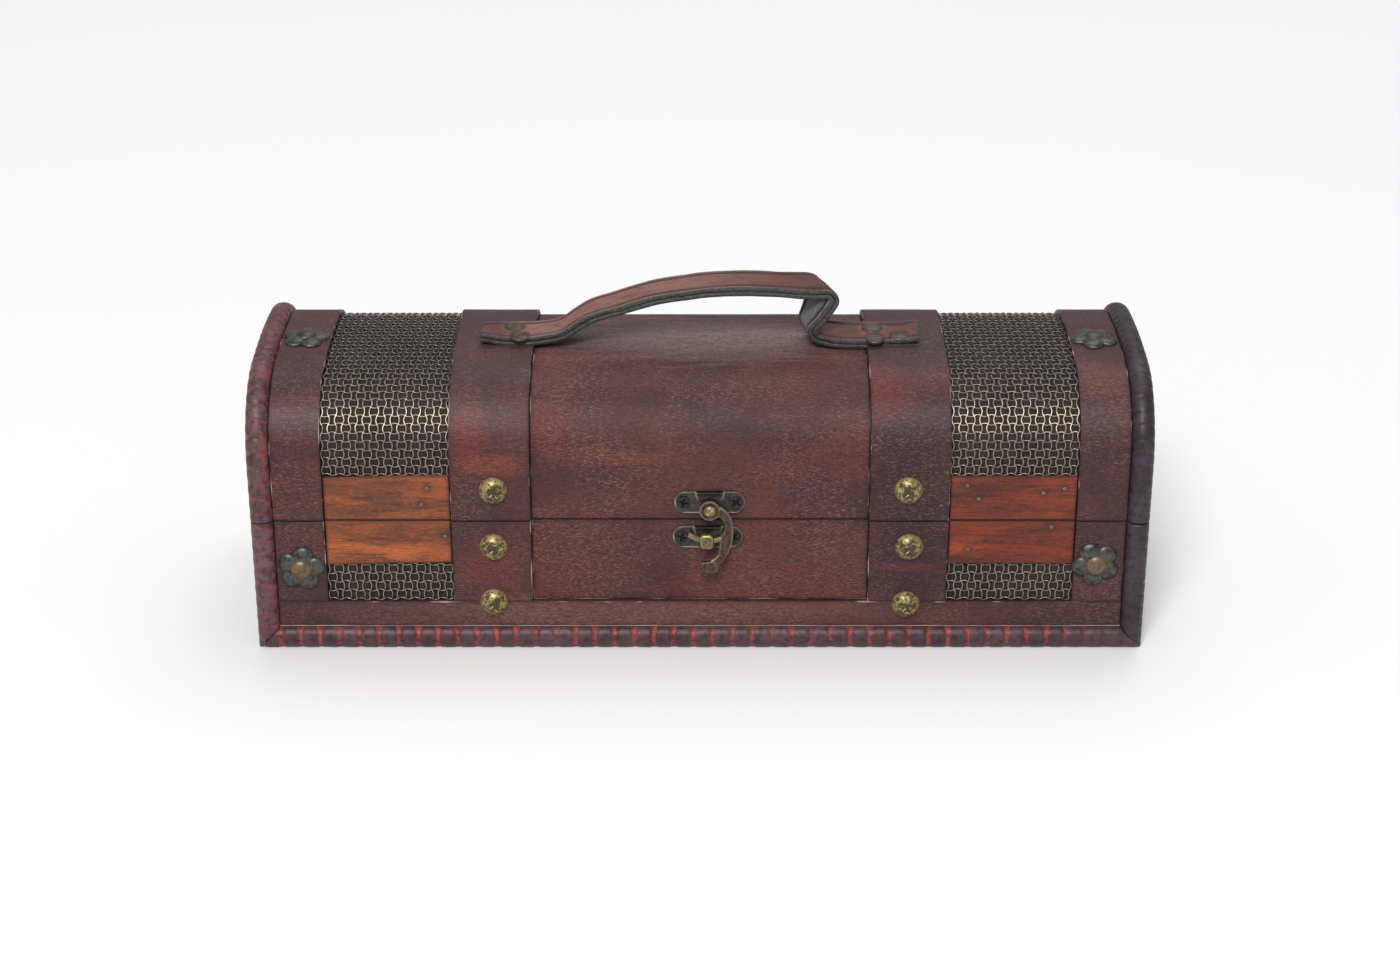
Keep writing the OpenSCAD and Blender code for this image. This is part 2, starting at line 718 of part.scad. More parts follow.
module base_dome_tacks() color(brass_colour)
    on_front(base_tacks, half_depth) fastener(tack_d, tack_h, shank_d, shank_l);
module base_rosettes() color(iron_colour) on_front(base_rosette_at, half_depth) rosette();
module base_rosette_nails() color(brass_colour) on_front(base_rosette_at, half_depth) rosette_nail();
module slat_brad() {
    fastener(brad_d, brad_h, brad_shank_d, shank_l - slat_inset);
}
module base_slat_brads() color(iron_colour)
    on_front(base_brad_at, half_depth - slat_inset) slat_brad();

// Lid: carcass and mouldings

module lid_shell() color(board_colour) difference() {
    lid_layer(-end_inner_x, end_inner_x, board_inset, inner_inset, lid_bottom);
    front_bores(lid_tacks, shank_d);
    front_bores(lid_brad_at, brad_shank_d);
    front_bores(upper_screws, screw_shank_d);
    front_bores([[pivot_x, pivot_z]], pivot_d);
    back_bores(hinge_screw_xs, seam_height + hinge_screw_z, shank_d);
    crown_bores();
    rivet_bores();
}

module lid_end(x0) {
    along_x(x0, x0 + end_board_t) difference() {
        section(board_inset);
        translate([-box_depth, -cut_margin]) square([2 * box_depth, lid_bottom + cut_margin]);
    }
}
module lid_left_end() color(board_colour) lid_end(-end_face_x);
module lid_right_end() color(board_colour) lid_end(end_inner_x);
module lid_left_moulding() color(moulding_colour) arch_moulding(-1);
module lid_right_moulding() color(moulding_colour) arch_moulding(1);

// Lid: panel, bands, meshes and slats

module lid_panel() color(panel_colour) difference() {
    lid_layer(-panel_x, panel_x, panel_inset, board_inset, lid_bottom);
    front_bores(upper_screws, screw_shank_d);
    front_bores([[pivot_x, pivot_z]], pivot_d);
}

module lid_band(x0) difference() {
    lid_layer(x0, x0 + band_w, 0, board_inset, lid_bottom);
    front_bores(lid_tacks, shank_d);
    back_bores(hinge_screw_xs, seam_height + hinge_screw_z, shank_d);
    rivet_bores();
}
module lid_left_band() color(band_colour) lid_band(-band_x);
module lid_right_band() color(band_colour) lid_band(panel_x);

module lid_end_band(x0) difference() {
    lid_layer(x0, x0 + end_band_w, 0, board_inset, lid_bottom);
    crown_bores();
}
module lid_left_end_band() color(band_colour) lid_end_band(-moulding_x);
module lid_right_end_band() color(band_colour) lid_end_band(end_band_x);

module lid_mesh(x0, x1) lid_layer(x0, x1, mesh_inset, board_inset, lid_slat_top);
module lid_left_mesh() color(mesh_colour) lid_mesh(-end_band_x, -band_x);
module lid_right_mesh() color(mesh_colour) lid_mesh(band_x, end_band_x);

module lid_slats(side) base_pair(side, band_x, end_band_x, lid_bottom, lid_slat_top, slat_inset);
module lid_front_slats() color(slat_colour) difference() {
    lid_slats(-1);
    front_bores(lid_brad_at, brad_shank_d);
}
module lid_back_slats() color(slat_colour) lid_slats(1);

// Lid: fasteners

module lid_dome_tacks() color(brass_colour)
    on_front(lid_tacks, half_depth) fastener(tack_d, tack_h, shank_d, shank_l);
module lid_rosettes() color(iron_colour) on_crown() rosette();
module lid_rosette_nails() color(brass_colour) on_crown() rosette_nail();
module lid_slat_brads() color(iron_colour)
    on_front(lid_brad_at, half_depth - slat_inset) slat_brad();

// Handle

module handle_top_strap() color(leather_colour) strap_layer(0, strap_layer_t);
module handle_lower_strap() color(suede_colour) strap_layer(-strap_layer_t, 0);
module handle_rivets() color(iron_colour)
    for (p = rivet_at) translate([p[0], p[1], strap_z + strap_layer_t])
        fastener(rivet_d, rivet_h, shank_d, rivet_shank_l);

// Clasp

module clasp_upper_plate() color(iron_colour) difference() {
    clasp_plate(upper_plate_at, upper_plate_l);
    front_bores(upper_screws, screw_shank_d);
    front_bores([[pivot_x, pivot_z]], pivot_d);
}
module clasp_lower_plate() color(iron_colour) difference() {
    clasp_plate(lower_plate_at, lower_plate_l);
    front_bores(lower_screws, screw_shank_d);
    front_bores([neck_at], neck_d);
}
module clasp_screws(points) on_front(points, plate_y)
    fastener(screw_d, screw_h, screw_shank_d, plate_t + panel_t + board_t - 1);
module clasp_upper_screws() color(iron_colour) clasp_screws(upper_screws);
module clasp_lower_screws() color(iron_colour) clasp_screws(lower_screws);

module clasp_pivot() color(brass_colour) {
    on_front([[pivot_x, pivot_z]], hook_face_y + pass_gap / 2) cap(rivet_head_d, rivet_head_h);
    outwards(hook_face_y + pass_gap / 2 - post_l, post_l + rivet_head_h / 4)
        translate([pivot_x, pivot_z]) circle(d = pivot_d);
}

module clasp_knob() color(brass_colour) {
    outwards(knob_back_y, knob_t) translate(knob_at) rounded_rect(knob_w, knob_h, knob_corner_r);
    outwards(knob_back_y - post_l, post_l) translate(neck_at) circle(d = neck_d);
}

module clasp_hook() color(brass_colour) difference() {
    union() {
        outwards(hook_y, hook_t) {
            translate([pivot_x, pivot_z]) circle(d = eye_d);
            translate(arm_centre) arc_bar(arm_radius, arm_w, arm_start, 0);
            translate(tongue_centre) arc_bar(tongue_radius, tongue_w, tongue_start, tongue_tip);
        }
        for (i = [0:len(ramp_steps) - 2]) hull() {
            arm_disc(ramp_steps[i]);
            arm_disc(ramp_steps[i + 1]);
        }
        hull() {
            arm_disc(arm_end);
            outwards(tab_y, tab_t) translate(tab_at) circle(r = tab_r, $fn = 32);
        }
    }
    front_bores([[pivot_x, pivot_z]], pivot_d);
    translate([pivot_x, -knob_face_y, pivot_z]) rotate([-90, 0, 0])
        cylinder(d = pivot_d + 2 * fit_gap, h = knob_face_y);
}

// Hinges

module hinge_base_leaves() color(brass_colour) for (x = hinge_xs) hinge_leaf(x, -1);
module hinge_lid_leaves() color(brass_colour) for (x = hinge_xs) hinge_leaf(x, 1);
module hinge_pins() color(iron_colour)
    for (x = hinge_xs) translate([x - hinge_w / 2, barrel_y, seam_height]) rotate([0, 90, 0])
        cylinder(d = pin_d, h = hinge_w);
module hinge_screws(z) on_back(hinge_screw_xs, z, half_depth + leaf_t)
    fastener(hinge_screw_d, hinge_screw_h, shank_d, hinge_shank_l - 1);
module hinge_base_screws() color(iron_colour) hinge_screws(seam_height - hinge_screw_z);
module hinge_lid_screws() color(iron_colour) hinge_screws(seam_height + hinge_screw_z);

base_floor();
base_front_board();
base_back_board();
base_left_end();
base_right_end();
base_front_moulding();
base_back_moulding();
front_left_corner_moulding();
front_right_corner_moulding();
back_corner_mouldings();
base_front_rail();
base_back_rail();
base_front_panel();
base_back_panel();
base_front_bands();
base_back_bands();
base_front_end_bands();
base_back_end_bands();
base_front_slats();
base_back_slats();
base_front_meshes();
base_back_meshes();
base_dome_tacks();
base_rosettes();
base_rosette_nails();
base_slat_brads();
clasp_lower_plate();
clasp_knob();
clasp_lower_screws();
hinge_base_leaves();
hinge_pins();
hinge_base_screws();
lid_shell();
lid_left_end();
lid_right_end();
lid_left_moulding();
lid_right_moulding();
lid_panel();
lid_left_band();
lid_right_band();
lid_left_end_band();
lid_right_end_band();
lid_left_mesh();
lid_right_mesh();
lid_front_slats();
lid_back_slats();
lid_dome_tacks();
lid_rosettes();
lid_rosette_nails();
lid_slat_brads();
handle_top_strap();
handle_lower_strap();
handle_rivets();
clasp_upper_plate();
clasp_pivot();
clasp_upper_screws();
hinge_lid_leaves();
hinge_lid_screws();
clasp_hook();
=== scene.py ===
"""Wine box with a rounded lid: modelled pieces, finishes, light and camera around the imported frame.

Sizes are in millimetres and each mesh is written in metres. X runs along the box, -Y is its front
and +Z is up. Places come from the frame's own nodes.
"""

import logging
import math
from collections.abc import Callable, Iterable
from dataclasses import dataclass, field
from enum import Enum
from typing import Any

import bmesh
import bpy
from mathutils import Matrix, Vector, noise


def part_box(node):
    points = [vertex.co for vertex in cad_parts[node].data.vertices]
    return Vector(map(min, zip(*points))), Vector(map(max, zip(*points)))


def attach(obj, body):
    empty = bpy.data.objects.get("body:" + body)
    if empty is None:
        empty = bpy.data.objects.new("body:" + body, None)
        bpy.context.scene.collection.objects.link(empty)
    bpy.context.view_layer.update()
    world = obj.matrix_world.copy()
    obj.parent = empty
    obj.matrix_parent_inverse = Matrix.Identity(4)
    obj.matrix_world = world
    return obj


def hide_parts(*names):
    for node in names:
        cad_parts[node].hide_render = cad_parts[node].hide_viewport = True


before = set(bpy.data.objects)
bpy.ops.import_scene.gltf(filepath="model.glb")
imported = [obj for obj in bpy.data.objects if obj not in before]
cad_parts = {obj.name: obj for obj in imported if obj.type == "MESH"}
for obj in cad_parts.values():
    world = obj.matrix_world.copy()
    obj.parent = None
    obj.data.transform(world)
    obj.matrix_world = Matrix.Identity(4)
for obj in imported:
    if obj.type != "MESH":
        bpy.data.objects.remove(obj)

Colour = tuple[int, int, int]
Pair = tuple[float, float]
Triple = tuple[float, float, float]
Spot = tuple[Vector, dict[str, float]]
Material = bpy.types.Material
Object = bpy.types.Object
Socket = bpy.types.NodeSocket

LOG = logging.getLogger("wine_box")
MM = 0.001
WELD = 0.0005
SIDE_WORDS = {-1: "left", 1: "right"}
TO_FRONT = Vector((0, -1, 0))
# Side, distance in from an end (from the far end where negative) and distance from the seam.
SLAT_BRADS = {
    "lid_front_slats": ((-1, 9, 13.7), (-1, 11.5, 6.7), (1, 6.6, 15), (1, 11.2, 9.3), (1, -13.4, 11.9),
                        (1, -5.1, 13.7)),
    "base_front_slats": ((-1, 2.5, 6.7), (1, -9.5, 2.6), (1, 7.8, 12.6))}


class Body(Enum):
    """The bodies that pieces ride on."""

    BASE = "base"
    LID = "lid"
    HOOK = "hook"


class Side(Enum):
    """Front or back of the box, as the sign of Y."""

    FRONT = -1
    BACK = 1


def linear(colour: Colour) -> tuple[float, ...]:
    """Turns a display colour, 0 to 255, into the linear one with alpha that shaders take."""
    shares = [part / 255 for part in colour]
    return (*(s / 12.92 if s <= 0.04045 else ((s + 0.055) / 1.055) ** 2.4 for s in shares), 1.0)


def deeper(colour: Colour, share: float) -> Colour:
    """Cuts each part of a colour to a share of it."""
    return tuple(int(part * share) for part in colour)


def smoothstep(low: float, high: float, value: float) -> float:
    """Eases from 0 at low to 1 at high, which may be below low."""
    share = min(1.0, max(0.0, (value - low) / (high - low)))
    return share * share * (3 - 2 * share)


def span(node: str, axis: int) -> Pair:
    """Lowest and highest place of a node of the frame along an axis, in millimetres."""
    low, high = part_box(node)
    return low[axis] / MM, high[axis] / MM


def height_of(node: str) -> float:
    """Height of a back node's face off the bands' face."""
    return span(node, 1)[1] - span("base_back_bands", 1)[1]


def wobble(across: float, along: float, seed: float, reach: float) -> float:
    """Slow unevenness, from about -1 to 1, that changes over a reach."""
    return noise.noise(Vector((across / reach, along / reach, seed)))


def turns(steps: int) -> list[float]:
    """Angles of even steps round a circle."""
    return [2 * math.pi * k / steps for k in range(steps)]


def circle(radius: float, steps: int) -> list[Pair]:
    """Places round a circle."""
    return [(radius * math.cos(turn), radius * math.sin(turn)) for turn in turns(steps)]


# Meshes


def link(name: str, data: bpy.types.ID) -> Object:
    """Adds data to the scene as an object at the origin.

    Args:
        name: the object's name.
        data: its mesh, lamp or camera.

    Returns:
        The new object.
    """
    made = bpy.data.objects.new(name, data)
    bpy.context.scene.collection.objects.link(made)
    return made


def smooth(mesh: bpy.types.Mesh, crease: float = 38.0, bevel: float = 0.0, weld: float = 0.0) -> None:
    """Turns a mesh's faces outwards and shades them smooth.

    Args:
        mesh: the mesh.
        crease: angle in degrees above which an edge is sharp.
        bevel: width of the bevel on its sharp edges, in millimetres.
        weld: distance in millimetres within which points become one.
    """
    build = bmesh.new()
    build.from_mesh(mesh)
    if weld > 0:
        bmesh.ops.remove_doubles(build, verts=build.verts, dist=weld * MM)
    bmesh.ops.recalc_face_normals(build, faces=build.faces)
    if bevel > 0:
        sharp = [e for e in build.edges if e.calc_face_angle(0.0) > math.radians(crease)]
        bmesh.ops.bevel(build, geom=sharp, offset=bevel * MM, offset_type="OFFSET", segments=2, profile=0.5,
                        affect="EDGES", clamp_overlap=True)
    build.to_mesh(mesh)
    build.free()
    mesh.shade_smooth()


@dataclass
class Shape:
    """Points in millimetres with their named values, and faces, of a piece that is being modelled."""

    spots: list[Spot] = field(default_factory=list)
    faces: list[tuple[int, ...]] = field(default_factory=list)

    def row(self, spots: Iterable[Spot]) -> list[int]:
        """Adds points to the shape.

        Args:
            spots: places with their named values.

        Returns:
            The numbers of the new points.
        """
        first = len(self.spots)
        self.spots += spots
        return list(range(first, len(self.spots)))

    def skin(self, rows: list[list[int]], closed: bool = False) -> None:
        """Joins rows of points with four-sided faces.

        Args:
            rows: rows of point numbers, all as long as each other.
            closed: True where each row is a ring.
        """
        width = len(rows[0])
        for first, second in zip(rows, rows[1:]):
            for k in range(width if closed else width - 1):
                after = (k + 1) % width
                self.faces.append((first[k], first[after], second[after], second[k]))

    def loft(self, rings: Iterable[Iterable[Spot]], tip: Spot | None = None) -> "Shape":
        """Joins rings of points into a closed form.

        Args:
            rings: the rings from the foot up, all as long as each other.
            tip: a point that closes the top, which stays flat without it.

        Returns:
            The shape itself.
        """
        rows = [self.row(ring) for ring in rings]
        self.skin(rows, closed=True)
        foot, last = tuple(reversed(rows[0])), rows[-1]
        if tip is None:
            self.faces += [foot, tuple(last)]
        else:
            top, = self.row([tip])
            self.faces += [(here, after, top) for here, after in zip(last, last[1:] + last[:1])] + [foot]
        return self

    def make(self, name: str, material: Material, crease: float = 38.0, bevel: float = 0.0) -> Object:
        """Turns the shape into an object of the scene.

        Args:
            name: the piece's name.
            material: its finish.
            crease: angle in degrees above which an edge stays sharp.
            bevel: width of the bevel on its sharp edges, in millimetres.

        Returns:
            The new object, at the origin.
        """
        mesh = bpy.data.meshes.new(name)
        mesh.from_pydata([place * MM for place, _ in self.spots], [], self.faces)
        for key in dict.fromkeys(key for _, values in self.spots for key in values):
            numbers = [values.get(key, 0.0) for _, values in self.spots]
            mesh.attributes.new(key, "FLOAT", "POINT").data.foreach_set("value", numbers)
        smooth(mesh, crease, bevel, WELD)
        mesh.set_sharp_from_angle(angle=math.radians(crease))
        mesh.materials.append(material)
        return link(name, mesh)


def seat(piece: Object, body: Body, slot: str, *nodes: str) -> None:
    """Puts a finished piece on its body.

    Args:
        piece: the object.
        body: the body that it rides on.
        slot: not used.
        nodes: the nodes that it stands for.
    """
    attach(piece, body.value)
    if nodes:
        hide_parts(*nodes)
    LOG.info("%s rides on %s with %d faces", piece.name, body.value, len(piece.data.polygons))


def dress(material: Material, *nodes: str) -> None:
    """Gives nodes of the frame a finish.

    Args:
        material: the finish.
        nodes: the names of the nodes, whose shape stays.
    """
    for name in nodes:
        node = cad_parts[name]
        node.data.materials.clear()
        node.data.materials.append(material)
        LOG.info("%s keeps its own shape", name)


# Node trees


class Sketch:
    """A node tree under construction, with short calls for the nodes that are used most."""

    def __init__(self, tree: bpy.types.NodeTree) -> None:
        """Starts on a tree."""
        self.tree = tree

    def feed(self, socket: Socket, value: Any) -> None:
        """Links a socket to another one, or sets its value.

        Args:
            socket: the input.
            value: a socket or a plain value.
        """
        if isinstance(value, bpy.types.NodeSocket):
            self.tree.links.new(value, socket)
        else:
            socket.default_value = value

    def node(self, kind: str, feeds: dict[Any, Any] | None = None, **settings: Any) -> bpy.types.Node:
        """Adds a node.

        Args:
            kind: the node's type.
            feeds: values or sockets by input name or number.
            settings: the node's own properties.

        Returns:
            The new node.
        """
        made = self.tree.nodes.new(kind)
        for name, value in settings.items():
            setattr(made, name, value)
        for key, value in (feeds or {}).items():
            self.feed(made.inputs[key], value)
        return made

    def out(self, kind: str, feeds: dict[Any, Any] | None = None, **settings: Any) -> Socket:
        """Adds a node and gives its first output."""
        return self.node(kind, feeds, **settings).outputs[0]

    def math(self, operation: str, first: Any, second: Any = 0.0) -> Socket:
        """Result of a math node on two numbers."""
        return self.out("ShaderNodeMath", {0: first, 1: second}, operation=operation)

    def times(self, first: Any, second: Any) -> Socket:
        """Product of two numbers."""
        return self.math("MULTIPLY", first, second)

    def plus(self, first: Any, second: Any) -> Socket:
        """Sum of two numbers."""
        return self.math("ADD", first, second)

    def less(self, first: Any, second: Any) -> Socket:
        """Difference of two numbers."""
        return self.math("SUBTRACT", first, second)

    def combine(self, x: Any, y: Any, z: Any) -> Socket:
        """Vector made of three numbers."""
        return self.out("ShaderNodeCombineXYZ", {0: x, 1: y, 2: z})

    def part(self, vector: Any, axis: int) -> Socket:
        """One of the three numbers of a vector."""
        return self.node("ShaderNodeSeparateXYZ", {0: vector}).outputs[axis]

    def mix(self, share: Any, first: Any, second: Any) -> Socket:
        """Colour between two colours."""
        return self.node("ShaderNodeMix", {0: share, 6: first, 7: second}, data_type="RGBA").outputs[2]

    def ramp(self, value: Any, low: float, high: float) -> Socket:
        """Number eased from 0 at low to 1 at high."""
        feeds = {"Value": value, "From Min": low, "From Max": high}
        return self.out("ShaderNodeMapRange", feeds, interpolation_type="SMOOTHSTEP")


class Paint(Sketch):
    """A material under construction, read in Object coordinates or a piece's own point values."""

    def __init__(self, name: str, start: Triple = (0, 0, 0)) -> None:
        """Starts a material with an empty tree.

        Args:
            name: the material's name.
            start: where its noises start.
        """
        self.material = bpy.data.materials.new(name)
        self.material.use_nodes = True
        super().__init__(self.material.node_tree)
        self.tree.nodes.clear()
        self.start = start
        self.colour: Any = None
        self.place = self.node("ShaderNodeTexCoord").outputs["Object"]

    def noise(self, scale: float, detail: float = 3.0, rough: float = 0.55, bend: float = 0.0,
              stretch: Triple = (1, 1, 1), turn: Triple = (0, 0, 0)) -> Socket:
        """Noise number from 0 to 1.

        Args:
            scale: how fine it is.
            detail: how many finer layers it has.
            rough: how strong they are.
            bend: how much it is distorted.
            stretch: scale of the coordinates along each axis.
            turn: their turn in radians.

        Returns:
            The number's socket.
        """
        feeds = {"Vector": self.place, "Location": self.start, "Rotation": turn, "Scale": stretch}
        moved = self.out("ShaderNodeMapping", feeds)
        feeds = {"Vector": moved, "Scale": scale, "Detail": detail, "Roughness": rough, "Distortion": bend}
        return self.out("ShaderNodeTexNoise", feeds)

    def value(self, name: str) -> Socket:
        """A piece's own point value."""
        return self.node("ShaderNodeAttribute", attribute_name=name, attribute_type="GEOMETRY").outputs["Fac"]

    def blend(self, first: Any, share: float, second: Any, other: float) -> Socket:
        """Sum of two numbers by their shares."""
        return self.plus(self.times(first, share), self.times(second, other))

    def ground(self, share: Any, first: Colour, second: Colour) -> None:
        """Starts the colour between two colours."""
        self.colour = self.mix(share, linear(first), linear(second))

    def tint(self, share: Any, strength: float, colour: Colour) -> None:
        """Lays a colour over the one so far."""
        self.colour = self.mix(self.times(share, strength), self.colour, linear(colour))

    def layer(self, value: Any, low: float, high: float, strength: float, colour: Colour) -> None:
        """Lays a colour over the one so far where a number goes from low to high."""
        self.tint(self.ramp(value, low, high), strength, colour)

    def bump(self, height: Any, strength: float, distance: float) -> Socket:
        """Normal that a height raises by a distance in millimetres."""
        return self.out("ShaderNodeBump", {"Strength": strength, "Distance": distance * MM, "Height": height})

    def finish(self, rough: Any, **inputs: Any) -> Material:
        """Ends the material in one shader.

        Args:
            rough: its roughness.
            inputs: other values or sockets by input name, with spaces written as underscores.

        Returns:
            The material.
        """
        feeds = {"Base Color": self.colour, "Roughness": rough}
        feeds |= {key.replace("_", " "): value for key, value in inputs.items()}
        self.node("ShaderNodeOutputMaterial", {"Surface": self.out("ShaderNodeBsdfPrincipled", feeds)})
        return self.material


# Finishes


@dataclass(frozen=True)
class Blush:
    """A patch whose colour differs from around it; most are stain, and some are painted sheen or shade."""

    centre: Triple
    reach: Triple
    share: float
    colour: Colour
    ragged: float = 0.9

    def lay(self, paint: Paint, streaks: Socket) -> None:
        """Lays the patch over a material's colour.

        Args:
            paint: the material under construction.
            streaks: its grain, which breaks the patch's edge.
        """
        away = paint.place
        for operation, parts in (("SUBTRACT", self.centre), ("DIVIDE", self.reach)):
            feeds = {0: away, 1: tuple(part * MM for part in parts)}
            away = paint.out("ShaderNodeVectorMath", feeds, operation=operation)
        far = paint.node("ShaderNodeVectorMath", {0: away}, operation="LENGTH").outputs["Value"]
        paint.layer(paint.plus(far, paint.times(streaks, self.ragged)), 1.5, 0.75, self.share, self.colour)


@dataclass(frozen=True)
class StainedWood:
    """Stained and varnished board with fine hatched grain, streaks, patches and rubbed edges."""

    name: str
    dark: Colour = (50, 30, 34)
    mid: Colour = (82, 44, 42)
    red: Colour = (112, 36, 34)
    pale: Colour = (150, 118, 110)
    worn: Colour = (176, 158, 148)
    start: Triple = (0.0, 0.0, 0.0)
    patch: float = 26.0
    red_share: float = 0.6
    streak_share: float = 0.55
    rim_share: float = 0.5
    roughness: float = 0.5
    bump: float = 0.5
    gloss: float = 0.3
    hatches: tuple[tuple[Triple, Triple], ...] = (((520, 2600, 2600), (0, 0.2, 0.16)),
                                                  ((900, 3100, 3100), (0, -0.24, -0.2)))
    blushes: tuple[Blush, ...] = ()

    def make(self) -> Material:
        """Builds the material.

        Returns:
            The finished material.
        """
        paint = Paint(self.name, self.start)
        patches = paint.noise(self.patch, 4, 0.6, 0.4, (0.6, 1, 1))
        paint.ground(paint.ramp(patches, 0.30, 0.70), self.dark, self.mid)
        reds = paint.noise(self.patch * 0.7, 3, 0.5, 0.6, (0.5, 1, 1), (0, 0, 1))
        streaks = paint.noise(1.0, 5, 0.62, 0.3, (38, 420, 420))
        red = paint.times(paint.ramp(reds, 0.46, 0.72), paint.ramp(streaks, 0.30, 0.66))
        paint.tint(red, self.red_share, self.red)
        for blush in self.blushes:
            blush.lay(paint, streaks)
        lines = paint.noise(1.0, 4, 0.6, 0.0, (130, 1500, 1500))
        paint.layer(lines, 0.52, 0.30, self.streak_share, self.dark)
        first, second = (paint.noise(1.0, 3, 0.6, 0.2, *hatch) for hatch in self.hatches)
        hatch = paint.times(paint.plus(first, second), 0.5)
        cloud = paint.ramp(paint.noise(34, 3, 0.5), 0.35, 0.65)
        paint.tint(paint.times(paint.ramp(hatch, 0.50, 0.62), paint.plus(cloud, 0.4)), 0.26, self.pale)
        paint.layer(hatch, 0.50, 0.40, 0.8, self.dark)
        # Painted shade: each board darkens towards its edges, where it meets the boards beside it.
        paint.layer(paint.value("rim"), 0.1, 0.95, self.rim_share, deeper(self.dark, 0.5))
        worn = paint.plus(paint.value("worn"), paint.times(paint.noise(70, 4, 0.6), 1.1))
        paint.layer(worn, 1.10, 1.28, 0.75, self.worn)
        rough = paint.plus(paint.times(patches, 0.22), self.roughness - 0.11)
        height = paint.blend(hatch, 0.8, lines, 0.6)
        return paint.finish(rough, Normal=paint.bump(height, self.bump, 0.25), Specular_IOR_Level=self.gloss)


@dataclass(frozen=True)
class SlatWood:
    """Amber varnished slat with brown figure, dark edges and dark rings round its brads."""

    name: str
    amber: Colour = (122, 48, 24)
    brown: Colour = (72, 32, 24)
    glow: Colour = (150, 66, 28)
    rim: Colour = (48, 24, 18)
    stain: Colour = (52, 30, 24)
    start: Triple = (0.0, 0.0, 0.0)
    brown_from: float = 0.42

    def make(self) -> Material:
        """Builds the material.

        Returns:
            The finished material.
        """
        paint = Paint(self.name, self.start)
        figure = paint.noise(1.0, 5, 0.6, 0.6, (24, 110, 110))
        brown = paint.ramp(figure, self.brown_from + 0.2, self.brown_from - 0.06)
        paint.ground(brown, self.amber, self.brown)
        light = paint.noise(1.0, 3, 0.5, 0.8, (22, 70, 70), (0, 0, 0.4))
        paint.layer(light, 0.52, 0.72, 0.8, self.glow)
        lines = paint.noise(1.0, 4, 0.65, 0.4, (80, 1300, 1300))
        paint.layer(lines, 0.50, 0.32, 0.75, deeper(self.brown, 0.55))
        flecks = paint.noise(1.0, 3, 0.6, 0.0, (420, 1800, 1800))
        paint.layer(flecks, 0.54, 0.68, 0.4, self.glow)
        paint.layer(flecks, 0.48, 0.36, 0.5, self.brown)
        paint.layer(paint.value("rim"), 0.15, 0.95, 0.8, self.rim)
        paint.tint(paint.value("stain"), 0.85, self.stain)
        height = paint.blend(lines, 0.8, flecks, 0.5)
        return paint.finish(0.45, Normal=paint.bump(height, 0.4, 0.2), Specular_IOR_Level=0.35)


@dataclass(frozen=True)
class CarvedTrim:
    """Dark carved half-round moulding whose hollows show the red ground between its lobes."""

    name: str
    lobe: Colour
    ground: Colour
    sheen: Colour
    red_left: float
    inner_red: float = 0.0
    pit: Colour = (30, 22, 26)

    def make(self) -> Material:
        """Builds the material.

        Returns:
            The finished material.
        """
        paint = Paint(self.name)
        patches = paint.noise(45, 4, 0.6, 0.3)
        fine = paint.noise(420, 4, 0.6, 0.2)
        paint.ground(paint.ramp(patches, 0.35, 0.72), self.lobe, self.sheen)
        paint.layer(fine, 0.52, 0.38, 0.6, self.pit)
        streak = paint.ramp(paint.noise(1.0, 4, 0.6, 0.5, (140, 140, 60)), 0.48, 0.66)
        to_left = paint.ramp(paint.part(paint.place, 0), 0.14, -0.178)
        paint.tint(paint.times(streak, to_left), self.red_left, self.ground)
        inner = paint.ramp(paint.value("across"), 0.1, 0.75)
        paint.tint(paint.times(inner, streak), self.inner_red, self.ground)
        under = linear(deeper(self.ground, 0.55))
        ground = paint.mix(paint.ramp(fine, 0.35, 0.65), under, linear(self.ground))
        edge = paint.plus(paint.value("lobe"), paint.times(paint.less(fine, 0.5), 0.5))
        bare = paint.times(paint.ramp(edge, 0.66, 0.30), paint.ramp(patches, 0.90, 0.35))
        paint.colour = paint.mix(bare, paint.colour, ground)
        return paint.finish(0.46, Normal=paint.bump(fine, 0.35, 0.2), Specular_IOR_Level=0.35)


